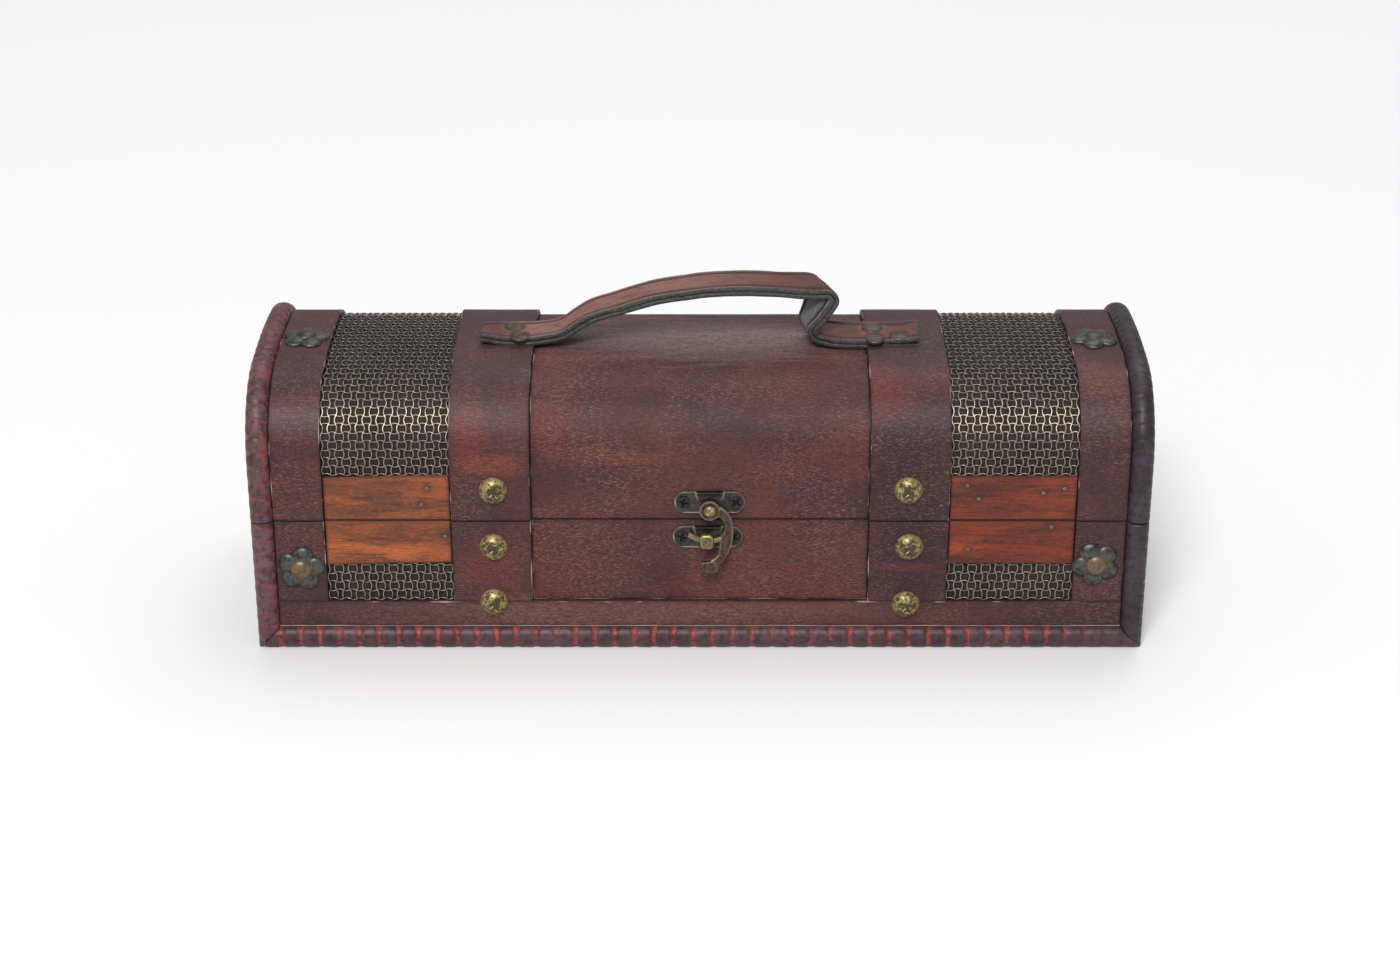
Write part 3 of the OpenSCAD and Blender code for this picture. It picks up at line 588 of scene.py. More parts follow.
@dataclass(frozen=True)
class AgedMetal:
    """Plated metal with patina in its hollows, bright metal where it is rubbed, and painted highlight and
    shade.
    """

    name: str
    metal: Colour
    patina: Colour
    bright: Colour
    patina_share: float = 0.6
    patch: float = 260.0
    roughness: float = 0.38
    metallic: float = 0.85
    edge_share: float = 0.8
    bump: float = 0.35
    heart: float = 0.0
    painted_highlight_z: float = 0.0
    painted_highlight_reach: float = 0.007
    soot: Colour = (12, 11, 12)

    def make(self) -> Material:
        """Builds the material.

        Returns:
            The finished material.
        """
        paint = Paint(self.name)
        patches = paint.noise(self.patch, 5, 0.65, 0.8)
        fine = paint.noise(self.patch * 7, 3, 0.6)
        heart = paint.times(paint.value("heart"), self.heart)
        blend = paint.less(paint.blend(patches, 0.7, fine, 0.3), heart)
        middle = 0.36 + 0.26 * self.patina_share
        paint.ground(paint.ramp(blend, middle + 0.04, middle - 0.04), self.metal, self.patina)
        crest = paint.node("ShaderNodeNewGeometry").outputs["Pointiness"]
        paint.layer(crest, 0.515, 0.60, self.edge_share, self.bright)
        paint.layer(crest, 0.485, 0.40, 0.7, self.patina)
        # Painted highlight where a piece's points are marked for it.
        paint.tint(paint.value("shine"), 0.8, self.bright)
        # Painted highlight: a bright band round one height, with painted shade above it.
        if self.painted_highlight_z:
            off = paint.less(paint.part(paint.place, 2), self.painted_highlight_z)
            paint.layer(paint.math("ABSOLUTE", off), self.painted_highlight_reach, 0.001, 0.75, self.bright)
            paint.layer(off, self.painted_highlight_reach, self.painted_highlight_reach * 2.2, 0.6, self.patina)
        # Painted shade: near black where a piece's points are marked for it.
        paint.tint(paint.value("soot"), 1.0, self.soot)
        rough = paint.plus(paint.times(patches, 0.3), self.roughness - 0.15)
        return paint.finish(rough, Metallic=self.metallic, Normal=paint.bump(fine, self.bump, 0.12))


@dataclass(frozen=True)
class StrapLeather:
    """Strap leather: dusty on the left, redder on the right, with painted shade in its creases and round its
    rivets, and cut edges.
    """

    name: str
    dusty: Colour = (132, 92, 82)
    russet: Colour = (88, 44, 40)
    tan: Colour = (124, 74, 54)
    glow: Colour = (132, 80, 56)
    edge: Colour = (34, 36, 35)
    frayed: Colour = (78, 77, 71)
    crease: Colour = (40, 29, 28)

    def make(self) -> Material:
        """Builds the material.

        Returns:
            The finished material.
        """
        paint = Paint(self.name)
        x = paint.part(paint.place, 0)
        ends = paint.math("MAXIMUM", paint.ramp(x, -0.02, 0.05), paint.ramp(x, -0.072, -0.077))
        paint.ground(ends, self.dusty, self.russet)
        paint.layer(paint.noise(90, 4, 0.6, 0.4, (0.6, 1, 1)), 0.55, 0.75, 0.45, self.tan)
        streaks = paint.noise(1.0, 4, 0.6, 0.5, (55, 700, 300))
        paint.layer(streaks, 0.50, 0.30, 0.45, deeper(self.russet, 0.5))
        fine = paint.noise(1400, 3, 0.6)
        paint.layer(fine, 0.52, 0.36, 0.4, deeper(self.dusty, 0.55))
        paint.tint(paint.value("glow"), 0.5, self.glow)
        paint.layer(paint.noise(1.0, 5, 0.7, 0.6, (160, 420, 420)), 0.5, 0.34, 0.4, self.edge)
        # Painted shade in the grooves, along the lower edge and round the rivets.
        paint.tint(paint.value("crease"), 0.95, self.crease)
        cut = paint.plus(paint.value("cut"), paint.times(paint.less(fine, 0.5), 0.5))
        frayed = paint.ramp(paint.noise(1.0, 5, 0.7, 0.4, (700, 1500, 1500)), 0.36, 0.70)
        edge = paint.mix(frayed, linear(self.edge), linear(self.frayed))
        paint.colour = paint.mix(paint.ramp(cut, 0.35, 0.7), paint.colour, edge)
        pores = paint.out("ShaderNodeTexVoronoi", {"Vector": paint.place, "Scale": 1500.0}, feature="F1")
        height = paint.blend(pores, 0.6, streaks, 0.4)
        return paint.finish(0.55, Normal=paint.bump(height, 0.45, 0.2), Specular_IOR_Level=0.4)


@dataclass(frozen=True)
class PlainGrained:
    """A matt surface with fine grain, such as thread or dark cloth backing."""

    name: str
    light: Colour
    dark: Colour
    scale: float

    def make(self) -> Material:
        """Builds the material.

        Returns:
            The finished material.
        """
        paint = Paint(self.name)
        fine = paint.noise(self.scale, 4, 0.65, 0.3)
        patches = paint.noise(self.scale / 9, 3, 0.5)
        paint.ground(paint.ramp(paint.blend(fine, 0.6, patches, 0.4), 0.34, 0.66), self.dark, self.light)
        return paint.finish(0.85, Normal=paint.bump(fine, 0.5, 0.2), Specular_IOR_Level=0.3)


# Surfaces that pieces lie on


class Skin:
    """A surface of the box: across runs along X, along runs up it and height stands off the bands' face."""

    def at(self, across: float, along: float, height: float) -> Vector:
        """Place of a point on or off the surface, in millimetres."""
        raise NotImplementedError

    def out(self, along: float) -> Vector:
        """Direction away from the surface."""
        return (self.at(0, along, 1) - self.at(0, along, 0)).normalized()


@dataclass
class FlatSkin(Skin):
    """The flat front or back of the base, where along is the height above the ground."""

    face_y: float
    side: Side

    def at(self, across: float, along: float, height: float) -> Vector:
        """Place of a point on or off the surface, in millimetres."""
        return Vector((across, self.side.value * (self.face_y + height), along))


@dataclass
class LidSkin(Skin):
    """The lid from its front seam over the shoulders and crown to its back seam.

    Along is the length from the front seam, measured on the face of the bands.
    """

    face_y: float
    bottom: float
    top: float
    shoulder: float = 31.0
    crown_rise: float = 1.3

    def __post_init__(self) -> None:
        """Works out the arcs once."""
        self.shoulder_y = self.face_y - self.shoulder
        self.crown = self.shoulder + (self.shoulder_y ** 2 + self.crown_rise ** 2) / (2 * self.crown_rise)
        self.spring = self.top - self.crown_rise - self.shoulder
        lean = math.asin(self.shoulder_y / (self.crown - self.shoulder))
        self.wall = self.spring - self.bottom
        self.bend = self.shoulder * (math.pi / 2 - lean)
        self.half = self.wall + self.bend + self.crown * lean
        self.length = 2 * self.half

    def at(self, across: float, along: float, height: float) -> Vector:
        """Place of a point on or off the surface, in millimetres.

        Args:
            across: its X.
            along: length over the lid from the front seam.
            height: how far it stands off the bands' face.

        Returns:
            The place.
        """
        behind = along > self.half
        run = self.length - along if behind else along
        if run <= self.wall:
            y, z = self.face_y + height, self.bottom + run
        elif run <= self.wall + self.bend:
            angle = (run - self.wall) / self.shoulder
            y = self.shoulder_y + (self.shoulder + height) * math.cos(angle)
            z = self.spring + (self.shoulder + height) * math.sin(angle)
        else:
            angle = (self.half - run) / self.crown
            y = (self.crown + height) * math.sin(angle)
            z = self.top - self.crown + (self.crown + height) * math.cos(angle)
        return Vector((across, y if behind else -y, z))

    def along_of(self, depth: float) -> float:
        """Length at which the surface's crown lies a distance in front of the ridge."""
        return self.half - self.crown * math.asin(depth / self.crown)


@dataclass(frozen=True)
class Layout:
    """Places that the frame's nodes give, from the middle outwards and from the ground up."""

    panel_x: float = span("lid_panel", 0)[1]
    band_x: float = span("lid_right_band", 0)[1]
    end_band_x: float = span("lid_right_end_band", 0)[0]
    moulding_x: float = span("lid_right_end_band", 0)[1]
    half_length: float = span("lid_right_moulding", 0)[1]
    rail_low: float = span("base_front_rail", 2)[0]
    rail_top: float = span("base_front_rail", 2)[1]
    base_top: float = span("base_front_panel", 2)[1]
    base_slat_z: float = span("base_front_slats", 2)[0]
    lid_bottom: float = span("lid_panel", 2)[0]
    lid_slat_top: float = span("lid_front_slats", 2)[1]
    lid_top: float = span("lid_left_band", 2)[1]
    face_y: float = span("base_back_bands", 1)[1]
    panel: float = height_of("base_back_panel")
    slat: float = height_of("base_back_slats")
    mesh: float = height_of("base_back_meshes")
    board: float = height_of("base_left_end")

    @property
    def lid_slat(self) -> float:
        """Height of the lid's slats."""
        return self.lid_slat_top - self.lid_bottom

    def brads(self, slats: str) -> list[Triple]:
        """Side, place across and place along of each brad in a row of slats.

        Args:
            slats: the row's node.

        Returns:
            The brads, of which the rows at the back have none.
        """
        found = []
        for side, inward, off in SLAT_BRADS.get(slats, ()):
            start = self.band_x if inward > 0 else self.end_band_x
            along = off if slats.startswith("lid") else self.base_top - off
            found.append((side, side * (start + inward), along))
        return found


LAY = Layout()
LID = LidSkin(LAY.face_y, LAY.lid_bottom, LAY.lid_top)
WALLS = {side: FlatSkin(LAY.face_y, side) for side in Side}


@dataclass
class Sheet:
    """A board or strip that lies on a skin, with rounded edges and a slightly uneven face."""

    skin: Skin
    across: Pair
    along: Pair
    face: float
    seed: float
    back: float = LAY.board
    edge: float = 0.3
    step: Pair = (5.0, 2.5)
    uneven: float = 0.10
    sway: float = 0.12
    stains: tuple[Pair, ...] = ()
    slant: Pair = (0.0, 0.0)
    worn: tuple[float, float, float, float] = (0.0, 0.0, 0.0, 0.0)

    def lines(self, low: float, high: float, step: float) -> list[float]:
        """Places of the grid lines between two edges, close together where the edge is round.

        Args:
            low: the first edge.
            high: the second edge.
            step: distance between lines in the middle.

        Returns:
            The places, from low to high.
        """
        near = [self.edge * (1 - math.cos(math.radians(a))) for a in (0, 35, 62, 90)]
        near += [r for r in (1.0, 1.8, 3.0) if r < (high - low) / 2 - 0.5]
        start = low + near[-1]
        reach = high - near[-1] - start
        count = max(1, round(reach / step))
        middle = [start + reach * k / count for k in range(1, count)]
        return [low + n for n in near] + middle + [high - n for n in reversed(near)]

    def drop(self, from_side: float, from_end: float) -> float:
        """How far the round edge lies below the face, at its distances from a side and an end."""
        reach = math.hypot(max(0.0, self.edge - from_side), max(0.0, self.edge - from_end))
        return self.edge - math.sqrt(max(0.0, self.edge ** 2 - min(reach, self.edge) ** 2))

    def spots(self, u: float, v: float, us: list[float], vs: list[float]) -> tuple[Spot, Spot]:
        """Points of the face and of the back at a crossing of grid lines.

        Args:
            u: place across.
            v: place along.
            us: all the grid's places across.
            vs: all its places along.

        Returns:
            The two points with their values.
        """
        edges = (u - us[0], us[-1] - u, v - vs[0], vs[-1] - v)
        side, end = min(edges[:2]), min(edges[2:])
        rim = math.exp(-max(0.0, min(side, end)))
        lift = self.uneven * (wobble(u, v, self.seed, 22) + 0.4 * wobble(u, v, self.seed + 5, 5))
        share = edges[0] / (us[-1] - us[0])
        lean = edges[2] / (vs[-1] - vs[0])
        across = u + self.sway * wobble(0, v, self.seed + 9, 11) * (2 * share - 1)
        along = v + (share - 0.5) * (self.slant[0] * (1 - lean) + self.slant[1] * lean)
        high = self.face - self.drop(side, end) + lift * (1 - rim * 0.5)
        stain = max([math.exp(-((u - x) ** 2 + (v - y) ** 2) / 3.6) for x, y in self.stains] + [0.0])
        worn = max(part * smoothstep(0.85, 0.28, far) for part, far in zip(self.worn, edges))
        return ((self.skin.at(across, along, high), {"rim": rim, "stain": stain, "worn": worn}),
                (self.skin.at(across, along, self.back), {"rim": 1.0}))

    def add_to(self, shape: Shape) -> Shape:
        """Adds the sheet to a shape.

        Args:
            shape: the shape that takes its points and faces.

        Returns:
            The same shape.
        """
        us = self.lines(*self.across, self.step[0])
        vs = self.lines(*self.along, self.step[1])
        grid = [[shape.row(self.spots(u, v, us, vs)) for u in us] for v in vs]
        top, bottom = ([[pair[k] for pair in row] for row in grid] for k in (0, 1))
        for rows in (top, bottom, (top[0], bottom[0]), (top[-1], bottom[-1])):
            shape.skin(rows)
        for k in (0, -1):
            shape.skin([[row[k] for row in rows] for rows in (top, bottom)])
        return shape


# Repeated shapes


class Repeat(Sketch):
    """A Geometry Nodes group under construction, run once and kept as a plain mesh."""

    def __init__(self, name: str) -> None:
        """Starts a group that takes a mesh and gives one back.

        Args:
            name: the group's name.
        """
        super().__init__(bpy.data.node_groups.new(name, "GeometryNodeTree"))
        self.sizes: dict[str, float] = {}
        for way in ("INPUT", "OUTPUT"):
            self.tree.interface.new_socket("Geometry", in_out=way, socket_type="NodeSocketGeometry")
        self.entry = self.node("NodeGroupInput")

    def take(self, **sizes: float) -> list[Socket]:
        """Adds named inputs to the group.

        Args:
            sizes: their values by name, where a whole number makes a whole input.

        Returns:
            The sockets that carry the values.
        """
        for name, value in sizes.items():
            kind = "NodeSocketInt" if isinstance(value, int) else "NodeSocketFloat"
            item = self.tree.interface.new_socket(name, in_out="INPUT", socket_type=kind)
            self.sizes[item.identifier] = value
        return [self.entry.outputs[name] for name in sizes]

    def named(self, name: str, kind: str = "FLOAT") -> Socket:
        """Reads a point value by its name."""
        return self.out("GeometryNodeInputNamedAttribute", {"Name": name}, data_type=kind)

    def bake(self, name: str, geometry: Socket, material: Material, source: bpy.types.Mesh) -> bpy.types.Mesh:
        """Ends the group and keeps what it gives as a mesh.

        Args:
            name: name of the mesh.
            geometry: the socket with the finished geometry.
            material: the finish.
            source: the mesh that the group starts from.

        Returns:
            The plain mesh.
        """
        real = self.out("GeometryNodeRealizeInstances", {0: geometry})
        dressed = self.out("GeometryNodeSetMaterial", {"Geometry": real, "Material": material})
        self.node("NodeGroupOutput", {0: dressed})
        holder = link(name + "_source", source)
        modifier = holder.modifiers.new("Repeat", "NODES")
        modifier.node_group = self.tree
        for key, value in self.sizes.items():
            modifier[key] = value
        graph = bpy.context.evaluated_depsgraph_get()
        mesh = bpy.data.meshes.new_from_object(holder.evaluated_get(graph))
        mesh.name = name
        bpy.data.objects.remove(holder)
        return mesh


@dataclass(frozen=True)
class Seat:
    """Where a repeated shape sits: its place, the way it faces and its turn in degrees."""

    place: Vector
    out: Vector
    turn: float = 0.0


def scatter(name: str, head: Shape, seats: list[Seat], material: Material, body: Body, slot: str,
            *nodes: str) -> None:
    """Repeats a modelled shape on seats and puts the piece on its body.

    Args:
        name: the piece's name.
        head: the shape, standing on the ground at the origin and facing up.
        seats: where the copies go.
        material: the finish.
        body: the body that it rides on.
        slot: not used.
        nodes: the nodes that it stands for.
    """
    proto = head.make(name + "_head", material)
    source = bpy.data.meshes.new(name + "_seats")
    source.from_pydata([spot.place * MM for spot in seats], [], [])
    aims = [part for spot in seats for part in spot.out.normalized()]
    source.attributes.new("aim", "FLOAT_VECTOR", "POINT").data.foreach_set("vector", aims)
    spins = [math.radians(spot.turn) for spot in seats]
    source.attributes.new("turn", "FLOAT", "POINT").data.foreach_set("value", spins)
    repeat = Repeat(name)
    size, = repeat.take(Size=1.0)
    aim = repeat.out("FunctionNodeAlignRotationToVector", {"Vector": repeat.named("aim", "FLOAT_VECTOR")},
                     axis="Z")
    spin = repeat.out("FunctionNodeEulerToRotation", {0: repeat.combine(0.0, 0.0, repeat.named("turn"))})
    turned = repeat.out("FunctionNodeRotateRotation", {"Rotation": aim, "Rotate By": spin},
                        rotation_space="LOCAL")
    shape = repeat.node("GeometryNodeObjectInfo", {"Object": proto}).outputs["Geometry"]
    feeds = {"Points": repeat.entry.outputs[0], "Instance": shape, "Rotation": turned, "Scale": size}
    mesh = repeat.bake(name, repeat.out("GeometryNodeInstanceOnPoints", feeds), material, source)
    bpy.data.objects.remove(proto)
    seat(link(name, mesh), body, slot, *nodes)


def lathe(profile: tuple[Pair, ...], steps: int = 28, wave: float = 0.0) -> Shape:
    """Turns a profile round the Z axis.

    Args:
        profile: radius and height of each ring from the foot up; the last one is the tip.
        steps: number of sides.
        wave: how uneven the outline is, in millimetres.

    Returns:
        The closed shape.
    """
    rings = []
    for radius, height in profile[:-1]:
        ring = []
        for turn in turns(steps):
            reach = radius + wave * math.sin(3 * turn + 1) * min(1.0, radius)
            place = Vector((reach * math.cos(turn), reach * math.sin(turn), height))
            ring.append((place, {"heart": 1 - radius / profile[0][0]}))
        rings.append(ring)
    return Shape().loft(rings, (Vector((0, 0, profile[-1][1])), {"heart": 1.0}))


# Sub-assemblies


@dataclass
class Facing:
    """Boards over the front, back and lid: panels, bands, rails and slats."""

    joint: float = 0.12
    panel: StainedWood = StainedWood(
        "panel_wood", dark=(58, 36, 40), mid=(92, 54, 50), red=(110, 44, 38), pale=(160, 126, 116), gloss=0.2,
        roughness=0.55,
        blushes=(Blush((-60, -48, 94), (18, 26, 12), 0.45, (116, 44, 42)),
                 Blush((-36, -54, 83), (34, 10, 5), 0.4, (122, 64, 42)),
                 Blush((58, -50, 84), (22, 16, 14), 0.4, (110, 50, 42)),
                 # Painted highlight: a pale sheen over the crown.
                 Blush((0, 4, 112), (90, 34, 8), 0.8, (132, 112, 112)),
                 # Painted shade: a dark patch round the clasp.
                 Blush((3.5, -54, 58), (19, 10, 12), 0.75, (46, 34, 36)),
                 Blush((36, -54, 68), (8, 10, 3), 0.6, (58, 46, 52))))
    band: StainedWood = StainedWood(
        "band_wood", start=(0.3, 0.1, 0.2), red_share=0.55,
        blushes=(Blush((82, -52, 70), (26, 26, 80), 0.95, (44, 24, 26)),
                 Blush((-90, -46, 90), (9, 26, 20), 0.5, (124, 42, 40)),
                 Blush((-80, -54, 80), (16, 14, 7), 0.5, (134, 60, 42)),
                 Blush((74, -36, 102), (16, 26, 12), 0.6, (112, 32, 34)),
                 Blush((82, -56, 36), (16, 6, 2.6), 0.5, (108, 40, 40)),
                 Blush((-30, -56, 16), (150, 8, 10), 0.45, (124, 82, 74)),
                 Blush((-84, -54, 36), (20, 10, 16), 0.4, (112, 46, 42)),
                 Blush((82, 0, 113), (22, 40, 5), 0.45, (58, 46, 50)),
                 Blush((-82, 0, 113), (22, 40, 5), 0.45, (66, 52, 54)),
                 Blush((158, -30, 106), (16, 20, 6), 0.5, (118, 66, 46))))
    slat: SlatWood = SlatWood("slat_wood")
    slat_left: SlatWood = SlatWood("slat_wood_left", (144, 74, 38), (92, 51, 34), (180, 97, 44),
                                   start=(0.4, 0.2, 0.7), brown_from=0.44)

    def strips(self, low: float, high: float) -> list[Pair]:
        """A span of X and its mirror image, each less the joint."""
        return [(low + self.joint, high - self.joint), (-high + self.joint, -low - self.joint)]

    def board(self, name: str, kind: str, body: Body, node: str, sheets: list[Sheet]) -> None:
        """Makes one piece of sheets and puts it on its body.

        Args:
            name: the piece's name.
            kind: the kind of its finish.
            body: the body that it rides on.
            node: the node that it stands for.
            sheets: its parts.
        """
        shape = Shape()
        for sheet in sheets:
            sheet.add_to(shape)
        seat(shape.make(name, self.materials[kind]), body, kind.split("_")[0], node)

    def side(self, side: Side, seed: float) -> None:
        """Builds the boards of the base's front or back.

        Args:
            side: which one.
            seed: tells its unevenness from the other's.
        """
        skin = WALLS[side]
        name = side.name.lower()
        high = (LAY.rail_top, LAY.base_top)
        rail = Sheet(skin, (-LAY.moulding_x, LAY.moulding_x), (LAY.rail_low, LAY.rail_top - self.joint), 0.0,
                     seed, worn=(0.3, 0.3, 0.95, 0.5), step=(2.0, 2.0))
        panel = Sheet(skin, (-LAY.panel_x, LAY.panel_x), high, LAY.panel, seed + 1,
                      worn=(0.62, 0.3, 0.66, 0.35), step=(2.0, 2.0))
        right, left = (0.5, 0.45, 0.3, 0.4), (0.5, 0.6, 0.3, 0.4)
        bands, ends = ([Sheet(skin, across, high, 0.0, seed + 2 + k, worn=worn)
                        for k, (across, worn) in enumerate(zip(self.strips(*places), (right, left)))]
                       for places in ((LAY.panel_x, LAY.band_x), (LAY.end_band_x, LAY.moulding_x)))
        for word, kind, sheets in (("rail", "band", [rail]), ("panel", "panel", [panel]),
                                   ("bands", "band", bands), ("end_bands", "band", ends)):
            self.board(f"{name}_{word}", kind, Body.BASE, f"base_{name}_{word}", sheets)

    def slats(self) -> None:
        """Builds the slats above and below the seam, front and back."""
        flat = (LAY.base_slat_z, LAY.base_top)
        runs = (("base_front_slats", Body.BASE, WALLS[Side.FRONT], flat, (1.1, 0.0)),
                ("base_back_slats", Body.BASE, WALLS[Side.BACK], flat, (-0.5, 0.0)),
                ("lid_front_slats", Body.LID, LID, (0.0, LAY.lid_slat), (0.0, 1.0)),
                ("lid_back_slats", Body.LID, LID, (LID.length - LAY.lid_slat, LID.length), (0.4, 0.0)))
        for number, (node, body, skin, along, slant) in enumerate(runs):
            right, left = self.strips(LAY.band_x, LAY.end_band_x)
            for k, (side, across, kind, tilt) in enumerate(((1, right, "slat", (0.0, 0.0)),
                                                            (-1, left, "slat_left", slant))):
                stains = tuple((x, y) for where, x, y in LAY.brads(node) if where == side)
                sheet = Sheet(skin, across, along, LAY.slat, 80 + 3 * number + k, slant=tilt, step=(1.0, 1.0),
                              stains=stains)
                self.board(f"{node}_{SIDE_WORDS[side]}", kind, body, node, [sheet])

    def over_lid(self) -> None:
        """Builds the boards that run over the lid."""
        runs = (("lid_panel", -LAY.panel_x, LAY.panel_x, LAY.panel),
                ("lid_left_band", -LAY.band_x, -LAY.panel_x, 0.0),
                ("lid_right_band", LAY.panel_x, LAY.band_x, 0.0),
                ("lid_left_end_band", -LAY.moulding_x, -LAY.end_band_x, 0.0),
                ("lid_right_end_band", LAY.end_band_x, LAY.moulding_x, 0.0))
        for number, (node, low, high, face) in enumerate(runs):
            sheet = Sheet(LID, (low + self.joint, high - self.joint), (0.0, LID.length), face, 40 + number,
                          worn=(0.55, 0.55, 0.35, 0.35))
            self.board(f"{node}_board", "band" if number else "panel", Body.LID, node, [sheet])

    def build(self) -> None:
        """Builds and dresses every board of the facing."""
        self.materials: dict[str, Material] = {"panel": self.panel.make(), "band": self.band.make(),
                                               "slat": self.slat.make(), "slat_left": self.slat_left.make()}
        self.side(Side.FRONT, 20.0)
        self.side(Side.BACK, 60.0)
        self.slats()
        self.over_lid()


@dataclass
class WireMesh:
    """Woven brass wire over a dark backing, in four fields of the base and two of the lid."""

    row: float = 3.6
    sway: float = 0.5
    dip: float = 0.43
    weave: float = 0.22
    wire: float = 0.52
    thin: float = 0.38
    wires: int = 19
    margin: float = 0.5
    top_gap: float = 0.52
    # The wire carries a painted highlight band across the lid's front shoulder, with painted shade above it.
    metal: AgedMetal = AgedMetal(
        "mesh_wire", (124, 118, 113), (80, 79, 80), (226, 208, 178), 0.4, patch=500, roughness=0.34,
        edge_share=0.3, painted_highlight_z=0.097)
    backing: PlainGrained = PlainGrained("mesh_backing", (54, 46, 44), (28, 25, 26), 420)

    def half(self, repeat: Repeat, count: Socket, gap: Socket, length: Socket, other: Socket,
             upright: bool) -> Socket:
        """Builds the wires that run one way.

        Args:
            repeat: the group under construction.
            count: number of wires.
            gap: distance between them.
            length: how long each one is.
            other: distance between the wires that cross them.
            upright: True for the wires that run up the field.

        Returns:
            The wires as tubes.
        """
        reach, weave, thick = ((-self.sway, self.weave, self.wire) if upright
                               else (self.dip, -self.weave, self.thin))

        def placed(across: Socket | float, along: Socket | float, up: Socket | float) -> Socket:
            """Vector from its parts across and along the wires."""
            return repeat.combine(*((across, along) if upright else (along, across)), up)

        feeds = {"Count": count, "Offset": placed(gap, 0.0, 0.0)}
        line = repeat.out("GeometryNodeMeshLine", feeds, mode="OFFSET")
        feeds = {"Start": (0, 0, 0), "End": placed(0.0, length, 0.0)}
        wire = repeat.out("GeometryNodeCurvePrimitiveLine", feeds)
        points = repeat.plus(repeat.times(repeat.math("DIVIDE", length, other), 4.0), 1.0)
        wire = repeat.out("GeometryNodeResampleCurve", {"Curve": wire, "Count": points})
        rows = repeat.out("GeometryNodeInstanceOnPoints", {"Points": line, "Instance": wire})
        feeds = {"Geometry": rows, "Name": "wire", "Value": repeat.out("GeometryNodeInputIndex")}
        numbered = repeat.out("GeometryNodeStoreNamedAttribute", feeds, data_type="FLOAT", domain="INSTANCE")
        real = repeat.out("GeometryNodeRealizeInstances", {0: numbered})
        run = repeat.part(repeat.out("GeometryNodeInputPosition"), 1 if upright else 0)
        phase = repeat.times(repeat.math("DIVIDE", run, other), math.pi)
        odd = repeat.math("COSINE", repeat.times(repeat.named("wire"), math.pi))
        aside, up = (repeat.times(repeat.times(repeat.math(wave, phase), odd), far * MM)
                     for wave, far in (("SINE", reach), ("COSINE", weave)))
        swung = repeat.out("GeometryNodeSetPosition", {"Geometry": real, "Offset": placed(aside, 0.0, up)})
        ring = repeat.out("GeometryNodeCurvePrimitiveCircle", {"Resolution": 5, "Radius": thick / 2 * MM})
        feeds = {"Curve": swung, "Profile Curve": ring, "Fill Caps": True}
        return repeat.out("GeometryNodeCurveToMesh", feeds)

    def net(self, name: str, width: float, length: float) -> bpy.types.Mesh:
        """Builds a flat field of woven wire.

        Args:
            name: name of the mesh.
            width: the field's width in millimetres.
            length: the field's length in millimetres.

        Returns:
            The mesh, which starts at the origin and lies flat.
        """
        repeat = Repeat(name)
        rows = max(2, round(length / self.row))
        pitch, row, count, lines, wide, long = repeat.take(
            Pitch=width / (self.wires - 1) * MM, Row=length / rows * MM, Wires=self.wires, Rows=rows + 1,
            Width=width * MM, Length=length * MM)
        both = repeat.node("GeometryNodeJoinGeometry")
        for wires in (self.half(repeat, count, pitch, long, row, True),
                      self.half(repeat, lines, row, wide, pitch, False)):
            repeat.feed(both.inputs[0], wires)
        return repeat.bake(name, both.outputs[0], self.materials[0], bpy.data.meshes.new(name + "_empty"))

    def lay_on(self, name: str, skin: Skin, across: Pair, along: Pair) -> list[Object]:
        """Lays a field of wire and its backing on a skin.

        Args:
            name: the piece's name.
            skin: what they lie on.
            across: span of X.
            along: span along the skin.

        Returns:
            The wire and the backing.
        """
        start_u, start_v = across[0] + self.margin, along[0] + self.margin
        mesh = self.net(name, across[1] - across[0] - 2 * self.margin, along[1] - along[0] - 2 * self.margin)
        height = LAY.mesh - self.top_gap
        for vertex in mesh.vertices:
            u, v, w = vertex.co / MM
            drift = 0.25 * wobble(start_u + u, start_v + v, 3.0, 9)
            vertex.co = skin.at(start_u + u + drift, start_v + v + drift, height + w) * MM
        smooth(mesh)
        sheet = Sheet(skin, across, along, LAY.board + 0.5, 7.0, edge=0.2)
        return [link(name, mesh), sheet.add_to(Shape()).make(name + "_backing", self.materials[1])]

    def build(self) -> None:
        """Builds and dresses every field of wire."""
        self.materials: tuple[Material, Material] = (self.metal.make(), self.backing.make())
        low, high = LAY.band_x, LAY.end_band_x
        flat = (LAY.rail_top, LAY.base_slat_z)
        over = (LAY.lid_slat, LID.length - LAY.lid_slat)
        for where, skin, along, body in (("front", WALLS[Side.FRONT], flat, Body.BASE),
                                         ("back", WALLS[Side.BACK], flat, Body.BASE),
                                         ("over", LID, over, Body.LID)):
            for word, across in (("right", (low, high)), ("left", (-high, -low))):
                node = f"base_{where}_meshes" if body is Body.BASE else f"lid_{word}_mesh"
                for piece in self.lay_on(f"{where}_mesh_{word}", skin, across, along):
                    seat(piece, body, "mesh", node)


@dataclass(frozen=True)
class Carving:
    """Notches of a moulding: pitch, place of one of them, depth, widths at crest and sides, and arc.

    Fade holds the lengths between which the notches grow faint.
    """

    pitch: float
    first: float
    depth: float
    narrow: float
    wide: float
    arc: float
    fade: Pair = (9000.0, 9001.0)


